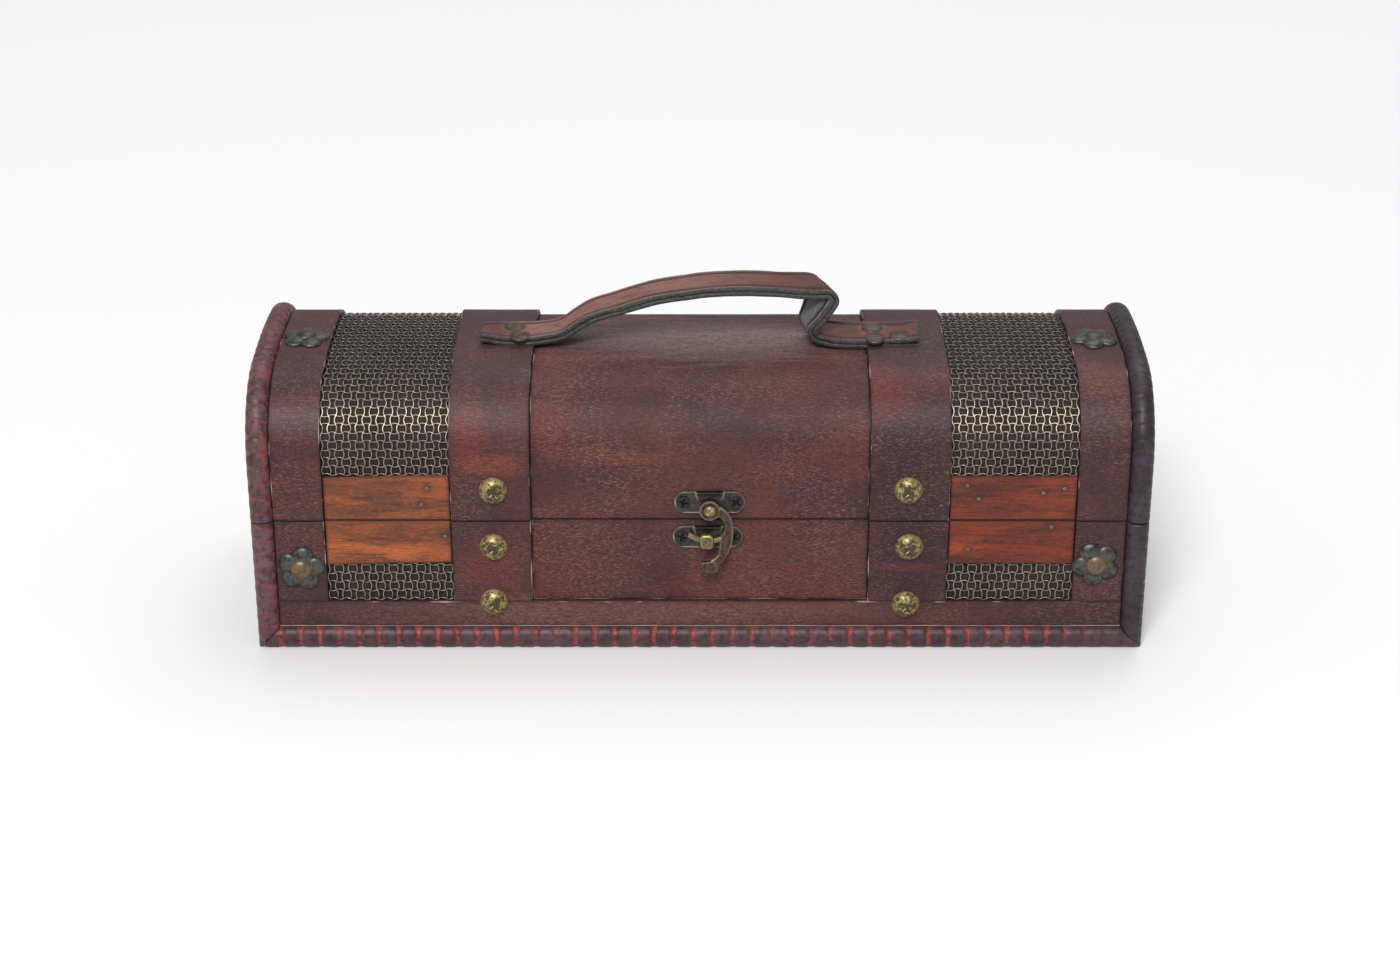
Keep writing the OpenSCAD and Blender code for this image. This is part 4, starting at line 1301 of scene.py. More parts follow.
@dataclass
class Trim:
    """Carved half-round mouldings: notched rings along the bottom, the corners and the lid's ends.

    Carvings and finishes go by -1 for the left side, 1 for the right one and 0 for the bottom.
    """

    crest: float = 3.0
    side: float = 2.0
    step: float = 0.55
    carvings: tuple[tuple[int, Carving], ...] = (
        (-1, Carving(6.3, 4.0, 0.42, 0.5, 1.9, -0.3)),
        (1, Carving(5.2, 9.0, 0.3, 0.3, 0.9, 0.6)),
        (0, Carving(7.89, -168.5, 0.36, 0.95, 1.9, 0.0, (95.0, 190.0))))
    finishes: tuple[tuple[int, CarvedTrim], ...] = (
        (-1, CarvedTrim("trim_left", (76, 49, 53), (136, 66, 66), (102, 73, 76), 0.3, inner_red=0.6)),
        (1, CarvedTrim("trim_right", (38, 31, 36), (70, 42, 46), (60, 52, 58), 0.1)),
        (0, CarvedTrim("trim_bottom", (64, 43, 47), (162, 60, 58), (84, 60, 64), 0.15)))

    def ring(self, half: float, lift: float) -> list[Pair]:
        """Points of the cross-section, from side to side.

        Args:
            half: half of its width.
            lift: how far the whole crest is lowered or raised.

        Returns:
            Places across and heights off the bands' face.
        """
        foot = LAY.board
        points = [(-half, foot), (-half, foot + self.side * 0.6)]
        for k in range(19):
            angle = math.pi * k / 18
            high = foot + self.side + (self.crest - foot - self.side + lift) * math.sin(angle) ** 0.9
            points.append((-half * math.cos(angle), high))
        return points + [(half, foot + self.side * 0.6), (half, foot)]

    def sweep(self, place: Callable[[float, float, float], Vector], start: Callable[[float], float],
              end: Callable[[float], float], seed: float) -> Shape:
        """Sweeps the cross-section.

        Args:
            place: gives the point for a length, a place across and a height.
            start: gives the length where the ring starts, for a place across.
            end: gives the length where it ends.
            seed: tells its unevenness from another's.

        Returns:
            The closed shape, with its length and its place across as point values.
        """
        half = (LAY.half_length - LAY.moulding_x) / 2
        longest = end(0.0) - start(0.0)
        count = int(longest / self.step)
        rings = []
        for k in range(count + 1):
            share = k / count
            round_end = -0.5 * math.exp(-min(share, 1 - share) * longest / 0.45)
            ring = []
            for across, height in self.ring(half - 0.05, round_end):
                run = start(across) + (end(across) - start(across)) * share
                rough = 0.12 * wobble(run, across, seed, 7) + 0.07 * wobble(run, across, seed + 3, 2.2)
                free = 1.0 if height > LAY.board + self.side else 0.0
                spot = place(run, across * (1 + round_end * 0.04), height + rough * free)
                ring.append((spot, {"run": run, "across": across / half}))
            rings.append(ring)
        return Shape().loft(rings)

    def carve(self, name: str, shape: Shape, kind: int, body: Body, node: str) -> None:
        """Cuts the notches into a swept moulding and puts it on its body.

        Args:
            name: the piece's name.
            shape: the smooth moulding.
            kind: which carving and finish it has.
            body: the body that it rides on.
            node: the node that it stands for.
        """
        carving, material = dict(self.carvings)[kind], self.materials[kind]
        plain = shape.make(name + "_plain", material)
        repeat = Repeat(name)
        step, depth, narrow, wide, first, arc = repeat.take(
            Pitch=carving.pitch, Depth=carving.depth * MM, Narrow=carving.narrow, Wide=carving.wide,
            First=carving.first, Arc=carving.arc)
        run = repeat.named("run")
        aside = repeat.math("ABSOLUTE", repeat.named("across"))
        flare = repeat.math("POWER", aside, 2.0)
        bent = repeat.plus(run, repeat.times(arc, flare))
        phase = repeat.math("DIVIDE", repeat.less(bent, first), step)
        away = repeat.times(repeat.math("ABSOLUTE", repeat.less(phase, repeat.math("ROUND", phase))), step)
        width = repeat.plus(narrow, repeat.times(flare, repeat.less(wide, narrow)))
        share = repeat.ramp(repeat.math("DIVIDE", away, width), 0.25, 1.35)
        lobe = repeat.math("MAXIMUM", share, repeat.times(repeat.ramp(run, *carving.fade), 0.8))
        cut = repeat.times(repeat.less(1.0, lobe), depth)
        back = repeat.times(repeat.times(cut, repeat.ramp(aside, 0.999, 0.94)), -1.0)
        feeds = {0: repeat.out("GeometryNodeInputNormal"), "Scale": back}
        move = repeat.out("ShaderNodeVectorMath", feeds, operation="SCALE")
        moved = repeat.out("GeometryNodeSetPosition", {"Geometry": repeat.entry.outputs[0], "Offset": move})
        feeds = {"Geometry": moved, "Name": "lobe", "Value": lobe}
        marked = repeat.out("GeometryNodeStoreNamedAttribute", feeds, data_type="FLOAT", domain="POINT")
        mesh = repeat.bake(name, marked, material, plain.data)
        bpy.data.objects.remove(plain)
        seat(link(name, mesh), body, "moulding", node)

    def build(self) -> None:
        """Builds and dresses every moulding."""
        self.materials: dict[int, Material] = {kind: finish.make() for kind, finish in self.finishes}
        outer = LAY.half_length
        mid = (outer + LAY.moulding_x) / 2
        low = LAY.rail_low / 2
        for number, side in enumerate(Side):
            skin = WALLS[side]
            name = side.name.lower()
            shape = self.sweep(lambda run, across, height: skin.at(run, low + across, height),
                               lambda across: -outer + low + across, lambda across: outer - low - across,
                               10 + number)
            self.carve(f"{name}_bottom_moulding", shape, 0, Body.BASE, f"base_{name}_moulding")
            for sign, word in SIDE_WORDS.items():
                shape = self.sweep(lambda run, across, height: skin.at(sign * mid + across, run, height),
                                   lambda across: outer - abs(sign * mid + across),
                                   lambda across: LAY.base_top, 14 + number * 2 + sign)
                node = f"front_{word}_corner_moulding" if side is Side.FRONT else "back_corner_mouldings"
                self.carve(f"{name}_{word}_corner", shape, sign, Body.BASE, node)
        for sign, word in SIDE_WORDS.items():
            shape = self.sweep(lambda run, across, height: LID.at(sign * mid + across, run, height),
                               lambda across: 0.0, lambda across: LID.length, 22 + sign)
            self.carve(f"lid_{word}_arch", shape, sign, Body.LID, f"lid_{word}_moulding")


@dataclass
class Fastenings:
    """Large dome tacks, pressed rosettes with their nails, and the brads in the slats.

    A profile holds radius and height of each ring of a head.
    """

    lid_tacks: tuple[Pair, ...] = ((-81.5, 69.6), (82.1, 69.7))
    base_tacks: tuple[Pair, ...] = ((-81.9, 44.9), (83.0, 44.9), (-82.4, 20.4), (82.4, 19.4))
    rosettes: tuple[Pair, Pair] = ((0.0, 35.3), (-1.2, 37.3))
    rosette_depths: Pair = (4.4, 5.2)
    petal_ring: float = 5.5
    petal_lean: float = 0.10
    nail_height: float = 0.85
    turns: Pair = (9.0, 45.0)
    tack_profile: tuple[Pair, ...] = (
        (5.45, -0.3), (5.58, 0.0), (5.6, 0.3), (5.5, 0.62), (5.25, 1.2), (4.75, 1.9), (4.1, 2.55),
        (3.3, 3.1), (2.3, 3.5), (1.2, 3.72), (0.5, 3.79), (0, 3.8))
    petal_profile: tuple[Pair, ...] = (
        (4.05, 0.0), (4.22, 0.25), (4.2, 0.6), (3.95, 1.0), (3.4, 1.42), (2.6, 1.75), (1.7, 1.95),
        (0.8, 2.02), (0, 2.04))
    nail_profile: tuple[Pair, ...] = (
        (4.3, 0.0), (4.4, 0.35), (4.3, 0.8), (3.9, 1.45), (3.1, 2.05), (2.1, 2.42), (1.0, 2.57), (0, 2.6))
    brad_profile: tuple[Pair, ...] = ((0.72, -0.2), (0.75, 0.08), (0.66, 0.28), (0.36, 0.38), (0, 0.4))
    tack: AgedMetal = AgedMetal(
        "tack_brass", (170, 152, 100), (70, 60, 42), (220, 208, 160), 0.38, patch=560, roughness=0.42,
        metallic=0.55, heart=0.16, bump=0.2)
    petal: AgedMetal = AgedMetal(
        "rosette_metal", (82, 82, 79), (52, 51, 50), (116, 114, 106), 0.45, patch=420, roughness=0.4,
        metallic=0.65, edge_share=0.3)
    nail: AgedMetal = AgedMetal(
        "rosette_nail_metal", (112, 94, 72), (72, 60, 50), (148, 130, 104), 0.35, patch=300, roughness=0.42,
        metallic=0.6)
    dark_nail: AgedMetal = AgedMetal(
        "rosette_nail_dark", (76, 70, 64), (46, 43, 41), (116, 108, 98), 0.4, patch=300, roughness=0.42,
        metallic=0.6)
    brad: AgedMetal = AgedMetal(
        "brad_metal", (98, 86, 78), (48, 38, 34), (190, 180, 170), 0.5, patch=700, roughness=0.35)

    def flat(self, x: float, z: float, height: float = 0.0) -> Seat:
        """Seat on the front of the base or the lid's front wall."""
        return Seat(Vector((x, -(LAY.face_y + height), z)), TO_FRONT)

    def petals(self, centre: Vector, out: Vector, turn: float, up: Vector) -> list[Seat]:
        """Seats of the five petals round a centre.

        Args:
            centre: where the rosette's middle is.
            out: the way it faces.
            turn: angle of the first petal from the X axis, in degrees.
            up: the direction that 90 degrees points to.

        Returns:
            The five seats.
        """
        seats = []
        for k in range(5):
            angle = math.radians(turn + 72 * k)
            away = Vector((1, 0, 0)) * math.cos(angle) + up * math.sin(angle)
            seats.append(Seat(centre + away * self.petal_ring, (out + away * self.petal_lean).normalized(),
                              40.0 * k))
        return seats

    def rosette_places(self, body: Body) -> list[tuple[Vector, Vector]]:
        """Places of a body's two rosettes, left and right, with the way each one faces.

        Args:
            body: the base or the lid.

        Returns:
            The places and directions.
        """
        mid = (LAY.end_band_x + LAY.moulding_x) / 2
        if body is Body.BASE:
            return [(self.flat(side * mid + aside, z).place, TO_FRONT)
                    for side, (aside, z) in zip(SIDE_WORDS, self.rosettes)]
        runs = [LID.along_of(depth) for depth in self.rosette_depths]
        return [(LID.at(side * mid, along, 0), LID.out(along)) for side, along in zip(SIDE_WORDS, runs)]

    def build(self) -> None:
        """Builds and dresses every fastening."""
        tack, petal, nail, brad, dark_nail = (
            finish.make() for finish in (self.tack, self.petal, self.nail, self.brad, self.dark_nail))
        for body, places in ((Body.LID, self.lid_tacks), (Body.BASE, self.base_tacks)):
            word = body.value
            seats = [self.flat(x, z) for x, z in places]
            scatter(f"{word}_tacks", lathe(self.tack_profile, 40, 0.03), seats, tack, body, "tack",
                    f"{word}_dome_tacks")
        for body, up, metal in ((Body.BASE, Vector((0, 0, 1)), nail),
                                (Body.LID, Vector((0, 1, 0)), dark_nail)):
            word = body.value
            petals, nails = [], []
            for turn, (centre, out) in zip(self.turns, self.rosette_places(body)):
                petals += self.petals(centre, out, turn, up)
                nails.append(Seat(centre + out * self.nail_height, out))
            scatter(f"{word}_petals", lathe(self.petal_profile, 28, 0.06), petals, petal, body, "rosette",
                    f"{word}_rosettes")
            scatter(f"{word}_buttons", lathe(self.nail_profile, 32, 0.04), nails, metal, body, "rosette_nail",
                    f"{word}_rosette_nails")
        for body, low in ((Body.LID, LAY.lid_bottom), (Body.BASE, 0.0)):
            word = body.value
            seats = [self.flat(x, low + z, LAY.slat) for _, x, z in LAY.brads(f"{word}_front_slats")]
            scatter(f"{word}_brad_heads", lathe(self.brad_profile, 14), seats, brad, body, "brad",
                    f"{word}_slat_brads")


@dataclass(frozen=True)
class Station:
    """A place on the strap's path: its length so far, X, Z and heading in degrees."""

    length: float
    x: float
    z: float
    heading: float


@dataclass
class Handle:
    """Leather strap handle that rises from the left, runs over and folds back down on the right."""

    reach: float = span("handle_top_strap", 0)[1]
    width: float = span("handle_top_strap", 1)[1] * 2
    middle: float = span("handle_top_strap", 2)[0]
    layer: float = 2.0
    forward: Pair = (-3.0, -1.0)
    roll: float = 4.5
    tab_roll: Pair = (2.0, 6.0)
    splay: float = 1.2
    curl: float = 1.5
    foot_rise: float = 0.9
    left_tab: float = 29.0
    rise_run: float = 16.5
    rise_angle: float = 30.0
    foot_radius: float = 14.0
    shoulder_bend: float = 72.0
    grip_angle: float = 4.0
    grip_sweep: float = 12.0
    grip_radius: float = 260.0
    fold_radius: float = 2.9
    lower_fold_radius: float = 3.2
    leg_slope: float = 56.0
    groove_inset: float = 2.3
    groove_depth: float = 0.5
    stitch_gap: float = 2.7
    fold_yaw: float = 0.45
    foot_yaw: float = 0.2
    lifts: tuple[Pair, ...] = (
        (-73, 0), (-67, 0), (-61, 0.4), (-53, 1.6), (-45, 2.2), (-40, 1.4), (-33, -0.4), (-26, -1.0),
        (-14, -1.0), (-6, -0.7), (5, 0.2), (16, 0.6), (28, 0.9), (36, 1.1), (42, 1.7), (47, 2.6), (52, 2.8),
        (60, 2.8))
    droop: float = 0.1
    rivets: tuple[Pair, ...] = ((-72.4, -9.2), (-74.8, -0.6), (70.2, -9.4), (69.4, -0.8), (80, -7))
    rivet_profile: tuple[Pair, ...] = (
        (4.1, -0.6), (4.2, 0.0), (4.2, 0.2), (3.95, 0.5), (3.3, 0.85), (2.3, 1.1), (1.1, 1.23), (0, 1.25))
    stitch_profile: tuple[Pair, ...] = ((-0.85, 0.08), (-0.7, 0.2), (0.0, 0.26), (0.7, 0.2), (0.85, 0.08))
    leather: StrapLeather = StrapLeather("strap_leather")
    suede: StrapLeather = StrapLeather("strap_suede", (96, 97, 98), (112, 113, 114), (92, 92, 80),
                                       (84, 84, 76))
    thread: PlainGrained = PlainGrained("strap_thread", (78, 58, 52), (44, 34, 32), 1600)
    rivet: AgedMetal = AgedMetal(
        "rivet_bronze", (80, 75, 67), (64, 50, 43), (122, 116, 102), 0.5, patch=240, roughness=0.48,
        metallic=0.5, edge_share=0.3)

    def __post_init__(self) -> None:
        """Walks the path once."""
        self.path: list[Station] = [Station(0.0, -self.reach, self.middle, 0.0)]
        self.run(self.left_tab)
        self.bend(self.foot_radius, self.rise_angle)
        self.run(self.rise_run)
        self.bend(self.shoulder_bend, self.grip_angle - self.rise_angle)
        self.bend(self.grip_radius, -self.grip_sweep)
        down = self.leg_slope - 180
        self.bend(self.fold_radius, down - (self.grip_angle - self.grip_sweep))
        self.upper_end = self.path[-1].length
        drop = self.lower_fold_radius * (1 - math.cos(math.radians(down)))
        self.run((self.path[-1].z - drop - self.middle) / math.sin(math.radians(self.leg_slope)))
        self.lower_start = self.path[-1].length
        self.bend(self.lower_fold_radius, -down)
        self.lower_end = self.path[-1].length
        self.run(self.reach - self.path[-1].x)

    def run(self, length: float, step: float = 0.9) -> None:
        """Goes straight on.

        Args:
            length: how far.
            step: distance between stations.
        """
        count = max(1, round(length / step))
        last = self.path[-1]
        turn = math.radians(last.heading)
        for k in range(1, count + 1):
            gone = length * k / count
            self.path.append(Station(last.length + gone, last.x + gone * math.cos(turn),
                                     last.z + gone * math.sin(turn), last.heading))

    def bend(self, radius: float, angle: float) -> None:
        """Goes round an arc.

        Args:
            radius: its radius.
            angle: how far it turns in degrees, up where positive.
        """
        last = self.path[-1]
        way = 1 if angle > 0 else -1
        long = radius * math.radians(abs(angle))
        count = max(4, round(abs(angle) / 7), round(long / 0.9))
        turn = math.radians(last.heading)
        centre_x = last.x - way * radius * math.sin(turn)
        centre_z = last.z + way * radius * math.cos(turn)
        for k in range(1, count + 1):
            heading = last.heading + angle * k / count
            now = math.radians(heading)
            self.path.append(Station(last.length + long * k / count, centre_x + way * radius * math.sin(now),
                                     centre_z - way * radius * math.cos(now), heading))

    def lift(self, x: float) -> float:
        """How far the grip is pushed up at a place along X, on a smooth line through the marks.

        Args:
            x: the place.

        Returns:
            The rise in millimetres.
        """
        marks = self.lifts
        for k, ((low, first), (high, second)) in enumerate(zip(marks, marks[1:])):
            if low <= x < high:
                slopes = []
                for j in (k, k + 1):
                    before, after = marks[max(j - 1, 0)], marks[min(j + 1, len(marks) - 1)]
                    slopes.append((after[1] - before[1]) / (after[0] - before[0]) * (high - low))
                t = (x - low) / (high - low)
                return (first + (second - first) * t * t * (3 - 2 * t) + slopes[0] * t * (1 - t) ** 2
                        - slopes[1] * t * t * (1 - t))
        return 0.0

    def place(self, station: Station, across: float, height: float) -> Vector:
        """Point of the strap.

        Args:
            station: the place on its path.
            across: place across it, negative in front.
            height: distance above its middle face.

        Returns:
            The point in millimetres.
        """
        turn = math.radians(station.heading)
        at = station.length
        upper = smoothstep(self.upper_end - 34, self.upper_end - 6, at)
        upper *= smoothstep(self.lower_start + 2, self.upper_end + 1, at)
        lower = smoothstep(self.upper_end + 1, self.lower_start, at)
        lower *= smoothstep(self.lower_end + 9, self.lower_end - 1, at)
        yaw = self.fold_yaw * upper + self.foot_yaw * lower
        sag = self.droop * upper * across if across < 0 else 0.0
        on_tab = at < self.left_tab - 4 or at > self.lower_end + 4
        high = height + (0.0 if on_tab else 0.16 * wobble(at, across, 31.0, 13))
        up = self.lift(station.x)
        if at > self.upper_end:
            up = self.lifts[-1][1] * smoothstep(self.lower_start, self.upper_end, at)
            foot = self.foot_rise * smoothstep(self.lower_end + 14, self.lower_end, at)
            up += foot * smoothstep(self.upper_end, self.lower_start, at)
        grip = smoothstep(self.left_tab - 18, self.left_tab + 24, at)
        grip *= smoothstep(self.upper_end + 4, self.upper_end - 12, at)
        tilt = math.sin(math.radians(self.roll)) * grip * across
        on_right = smoothstep(self.lower_end - 6, self.lower_end + 6, at)
        on_left = smoothstep(self.left_tab, self.left_tab - 14, at)
        tab = self.tab_roll[0] * on_left + self.tab_roll[1] * on_right
        tilt += math.sin(math.radians(tab)) * (across - self.width / 2)
        aside = self.forward[0] + (self.forward[1] - self.forward[0]) * grip
        return Vector((station.x - math.sin(turn) * high - yaw * across, across + aside,
                       station.z + math.cos(turn) * high + sag + up + tilt))

    def cross(self, way: int) -> list[tuple[float, float, float, float]]:
        """Points of a layer's cross-section: across, height, painted shade in creases and cut.

        Args:
            way: 1 for the upper layer and -1 for the lower one.

        Returns:
            The points round the layer.
        """
        half = self.width / 2 - 0.02
        thick = self.layer
        groove = half - self.groove_inset
        deep = self.groove_depth
        right = [(half - 0.4, 0.06, 0.9, 1.0), (half - 0.05, 0.34, 0.3, 1.0), (half, thick * 0.5, 0.0, 1.0),
                 (half - 0.05, thick - 0.4, 0.0, 1.0), (half - 0.25, thick - 0.12, 0.0, 0.8),
                 (half - 0.6, thick, 0.0, 0.2), (groove + 1.15, thick + 0.08, 0.1, 0.0),
                 (groove + 0.8, thick - deep, 1.0, 0.0), (groove - 0.7, thick - deep, 1.0, 0.0),
                 (groove - 1.1, thick + 0.02, 0.3, 0.0), (groove - 1.8, thick, 0.0, 0.0)]
        top = [(x, thick, 0.0, 0.0) for x in (3.0, 1.5, 0.0, -1.5, -3.0)]
        left = [(-x, h, c, e) for x, h, c, e in reversed(right)]
        low = [(x, 0.04, 0.0, 0.3) for x in (-5.0, -2.5, 0.0, 2.5, 5.0)]
        return [(x, way * h, c, e) for x, h, c, e in right + top + left + low]

    def strap(self, way: int) -> Shape:
        """Builds one layer.

        Args:
            way: 1 for the upper layer and -1 for the lower one.

        Returns:
            Its shape.
        """
        rings = []
        last = self.path[-1].length
        for station in self.path:
            at = station.length
            from_end = min(at, last - at)
            pinch = 1 - 0.05 * math.exp(-from_end / 0.5)
            thick = 0.4 + 0.6 * min(1.0, (from_end + 0.35) / 0.5)
            on_tab = 1.0 if at < self.left_tab or at > self.lower_end else 0.0
            ring = []
            for across, height, crease, cut in self.cross(way):
                edge = 0.10 * wobble(at, 3.0 * across, 37.0 + way, 8) * abs(across) / self.width
                point = self.place(station, across * pinch * (1 + edge), height * thick)
                near = min(math.hypot(point[0] - x, point[1] - y) for x, y in self.rivets)
                # Painted shade round each rivet, where the leather dips.
                rivet_shade = smoothstep(4.9, 4.1, near) * 0.8 * on_tab
                if way > 0:
                    point[2] += self.splay * smoothstep(last - 9, last, at)
                point[2] += self.curl * smoothstep(11, 0, at) * smoothstep(4, -8, across)
                ring.append((point, {"crease": max(crease, rivet_shade), "cut": 1.0 if from_end < 0.3 else cut,
                                     "glow": smoothstep(7.0, 4.2, near) * on_tab}))
            rings.append(ring)
        return Shape().loft(rings)

    def stitches(self) -> list[Seat]:
        """Seats of the stitches in the grooves of the upper layer.

        Returns:
            The seats.
        """
        seats = []
        half = self.width / 2 - 0.02 - self.groove_inset
        high = self.layer - self.groove_depth + 0.08
        due = 3.0
        for first, second in zip(self.path, self.path[1:]):
            while second.length >= due:
                share = (due - first.length) / (second.length - first.length)
                turn = math.radians(second.heading)
                for side in (-1, 1):
                    here, there = (self.place(station, side * half, high) for station in (first, second))
                    seats.append(Seat(here.lerp(there, share), Vector((-math.sin(turn), 0, math.cos(turn)))))
                due += self.stitch_gap
        return seats

    def build(self) -> None:
        """Builds and dresses the handle."""
        for name, way, finish, slot, node in (
                ("handle_upper_leather", 1, self.leather, "leather", "handle_top_strap"),
                ("handle_under_leather", -1, self.suede, "suede", "handle_lower_strap")):
            seat(self.strap(way).make(name, finish.make(), crease=50), Body.LID, slot, node)
        bar = Shape().loft([[(Vector((x, size * math.cos(turn), size * 0.8 * math.sin(turn))), {})
                             for turn in turns(6)] for x, size in self.stitch_profile])
        scatter("handle_stitches", bar, self.stitches(), self.thread.make(), Body.LID, "leather")
        seats = []
        for x, y in self.rivets:
            slope, lean = (0.09, 0.1) if x > 0 else (0.04, 0.04)
            place = Vector((x, y, self.middle + self.layer - 0.4 + (y - 5) * slope))
            seats.append(Seat(place, Vector((0, -lean, 1))))
        scatter("handle_rivet_heads", lathe(self.rivet_profile, 32, 0.05), seats, self.rivet.make(), Body.LID,
                "rivet", "handle_rivets")


@dataclass
class Clasp:
    """Swing-hook clasp: two screwed plates, a pivoted hook with a thumb tab, and a knob."""

    face_y: float = span("base_back_panel", 1)[1]
    pivot: Pair = (3.85, 61.5)
    upper: Triple = (3.85, 63.8, 28.1)
    lower: Triple = (3.1, 48.7, 27.9)
    plate_h: float = 9.4
    boss: float = 8.1
    boss_t: float = 0.75
    boss_lean: float = 0.3
    screw_inset: float = 3.7
    knob: Pair = (2.6, 49.2)
    neck_drop: float = 2.55
    neck: float = 0.62
    rivet_profile: tuple[Pair, ...] = (
        (2.25, 0.0), (2.35, 0.25), (2.3, 0.75), (2.0, 1.25), (1.4, 1.6), (0.6, 1.75), (0, 1.78))
    plate_metal: AgedMetal = AgedMetal(
        "clasp_plate_metal", (66, 62, 56), (40, 38, 36), (164, 160, 140), 0.4, patch=300, roughness=0.44,
        metallic=0.6, edge_share=0.7)
    screw_metal: AgedMetal = AgedMetal(
        "clasp_screw_metal", (54, 52, 50), (26, 25, 28), (84, 80, 72), 0.4, patch=500, roughness=0.5,
        metallic=0.6, edge_share=0.3)
    bronze: AgedMetal = AgedMetal(
        "clasp_bronze_metal", (86, 72, 55), (56, 47, 40), (192, 174, 140), 0.5, patch=500, roughness=0.42,
        metallic=0.7, edge_share=0.35)
    brass: AgedMetal = AgedMetal(
        "clasp_brass_metal", (130, 112, 72), (92, 78, 54), (214, 202, 152), 0.4, patch=800, roughness=0.46,
        metallic=0.75, edge_share=0.5, bump=0.15)

    def level(self, x: float, z: float, height: float) -> Vector:
        """Place at a height off the panel's face at the front."""
        return Vector((x, -(self.face_y + height), z))

    def rings(self, centre: Pair, levels: Iterable[tuple[Iterable[Pair], float, float]]) -> list[list[Spot]]:
        """Rings round a centre at the front from levels of places, height off the face and painted highlight.
        """
        return [[(self.level(centre[0] + x, centre[1] + z, height), {"shine": shine}) for x, z in places]
                for places, height, shine in levels]

    def plate(self, centre: Triple) -> Shape:
        """Builds a plate with round ends and a raised middle.

        Args:
            centre: X, Z and length of the plate.

        Returns:
            Its shape.
        """
        half = self.plate_h / 2
        straight = centre[2] / 2 - half
        outline = []
        for way in (1, -1):
            for k in range(13):
                angle = math.radians(-90 + 15 * k)
                outline.append((way * straight, way * math.cos(angle), way * math.sin(angle)))
            outline += [(way * straight * (1 - k / 26), 0.0, way) for k in range(1, 52)]
        rings = []
        for inset, height in ((0.0, 0.0), (0.0, 0.75), (0.06, 0.98), (0.2, 1.12), (0.45, 1.14), (0.8, 1.03),
                              (1.2, 1.0), (1.8, 1.0), (2.4, 1.0), (3.2, 1.0), (4.0, 1.0), (4.62, 1.0)):
            ring = []
            for middle, dx, dz in outline:
                x, z = middle + dx * (half - inset), dz * (half - inset)
                edge = abs(x) - self.boss_lean * z - self.boss / 2
                raised = smoothstep(0.9, -0.4, edge) * min(1.0, inset / 0.3)
                hole = min(math.hypot(x - way * (centre[2] / 2 - self.screw_inset), z) for way in (-1, 1))
                inner = 1.0 if inset > 0.5 else 0.0
                sunk = 0.5 * smoothstep(2.75, 2.25, hole) * inner
                # Painted highlight: thin lines along the shoulders of the raised middle, on its upper half.
                shine = math.exp(-((edge - 0.3) / 0.3) ** 2) * smoothstep(0.5, 2.5, z)
                # Painted shade along the top of the raised middle and round each screw's sunk seat.
                soot = max(0.75 * smoothstep(0.0, -0.5, edge) * smoothstep(2.2, 3.4, z),
                           0.6 * math.exp(-((hole - 2.45) / 0.25) ** 2) * inner)
                place = self.level(centre[0] + x, centre[1] + z, height + raised * self.boss_t - sunk)
                ring.append((place, {"shine": shine, "soot": soot}))
            rings.append(ring)
        return Shape().loft(rings)

    def screw(self) -> Shape:
        """Cross-head screw: a low dome with a cross cut into it.

        Returns:
            Its shape.
        """
        rings = []
        for radius in (2.3, 2.4, 2.3, 2.0, 1.75, 1.6, 1.45, 1.2, 0.95, 0.7, 0.5, 0.35):
            high = 0.45 + 0.3 * (1 - (radius / 2.4) ** 2) if rings else 0.0
            ring = []
            for x, y in circle(radius, 64):
                # Painted shade: the cross cut into the head is near black.
                inside = 1.0 if min(abs(x), abs(y)) < 0.4 and radius < 1.8 else 0.0
                ring.append((Vector((x, y, high - 0.42 * inside)), {"soot": inside}))
            rings.append(ring)
        return Shape().loft(rings, (Vector((0, 0, 0.3)), {"soot": 1.0}))

    def ribbon(self, shape: Shape, line: list[tuple[float, float, float, float, float]],
               bright: float = 0.0) -> None:
        """Sweeps a flat bar with rounded edges along a bending line.

        Args:
            shape: the shape that takes it.
            line: X, Z, width, height of the back and height of the face at each place.
            bright: how much painted highlight its face gets, where its rims always get some.
        """
        fine = []
        spots = [Vector(spot) for spot in line[:1] + line + line[-1:]]
        for before, here, after, beyond in zip(spots, spots[1:], spots[2:], spots[3:]):
            square, cube = 2 * before - 5 * here + 4 * after - beyond, 3 * here - before - 3 * after + beyond
            for t in (0.0, 0.25, 0.5, 0.75):
                fine.append(0.5 * (2 * here + (after - before) * t + square * t * t + cube * t ** 3))
        fine.append(spots[-1])
        rings = []
        for behind, (x, z, width, low, high), ahead in zip(fine[:1] + fine, fine, fine[1:] + fine[-1:]):
            way = Vector((ahead[0] - behind[0], ahead[1] - behind[1])).normalized()
            ring = []
            for across, share in ((-0.44, 0.0), (-0.5, 0.12), (-0.5, 0.62), (-0.46, 0.82), (-0.36, 0.95),
                                  (-0.16, 1.0), (0.16, 1.0), (0.36, 0.95), (0.46, 0.82), (0.5, 0.62),
                                  (0.5, 0.12), (0.44, 0.0)):
                place = self.level(x + -way[1] * across * width, z + way[0] * across * width,
                                   low + (high - low) * share)
                # Its rims get a painted highlight, stronger on one side.
                ring.append((place, {"shine": 0.75 if across > 0.42 else 0.5 if across < -0.42 else bright}))
            rings.append(ring)
        shape.loft(rings)

    def hook(self) -> Shape:
        """The swinging hook: eye, arm, tongue and thumb tab.

        Returns:
            Its shape.
        """
        low, high = 2.4, 4.4
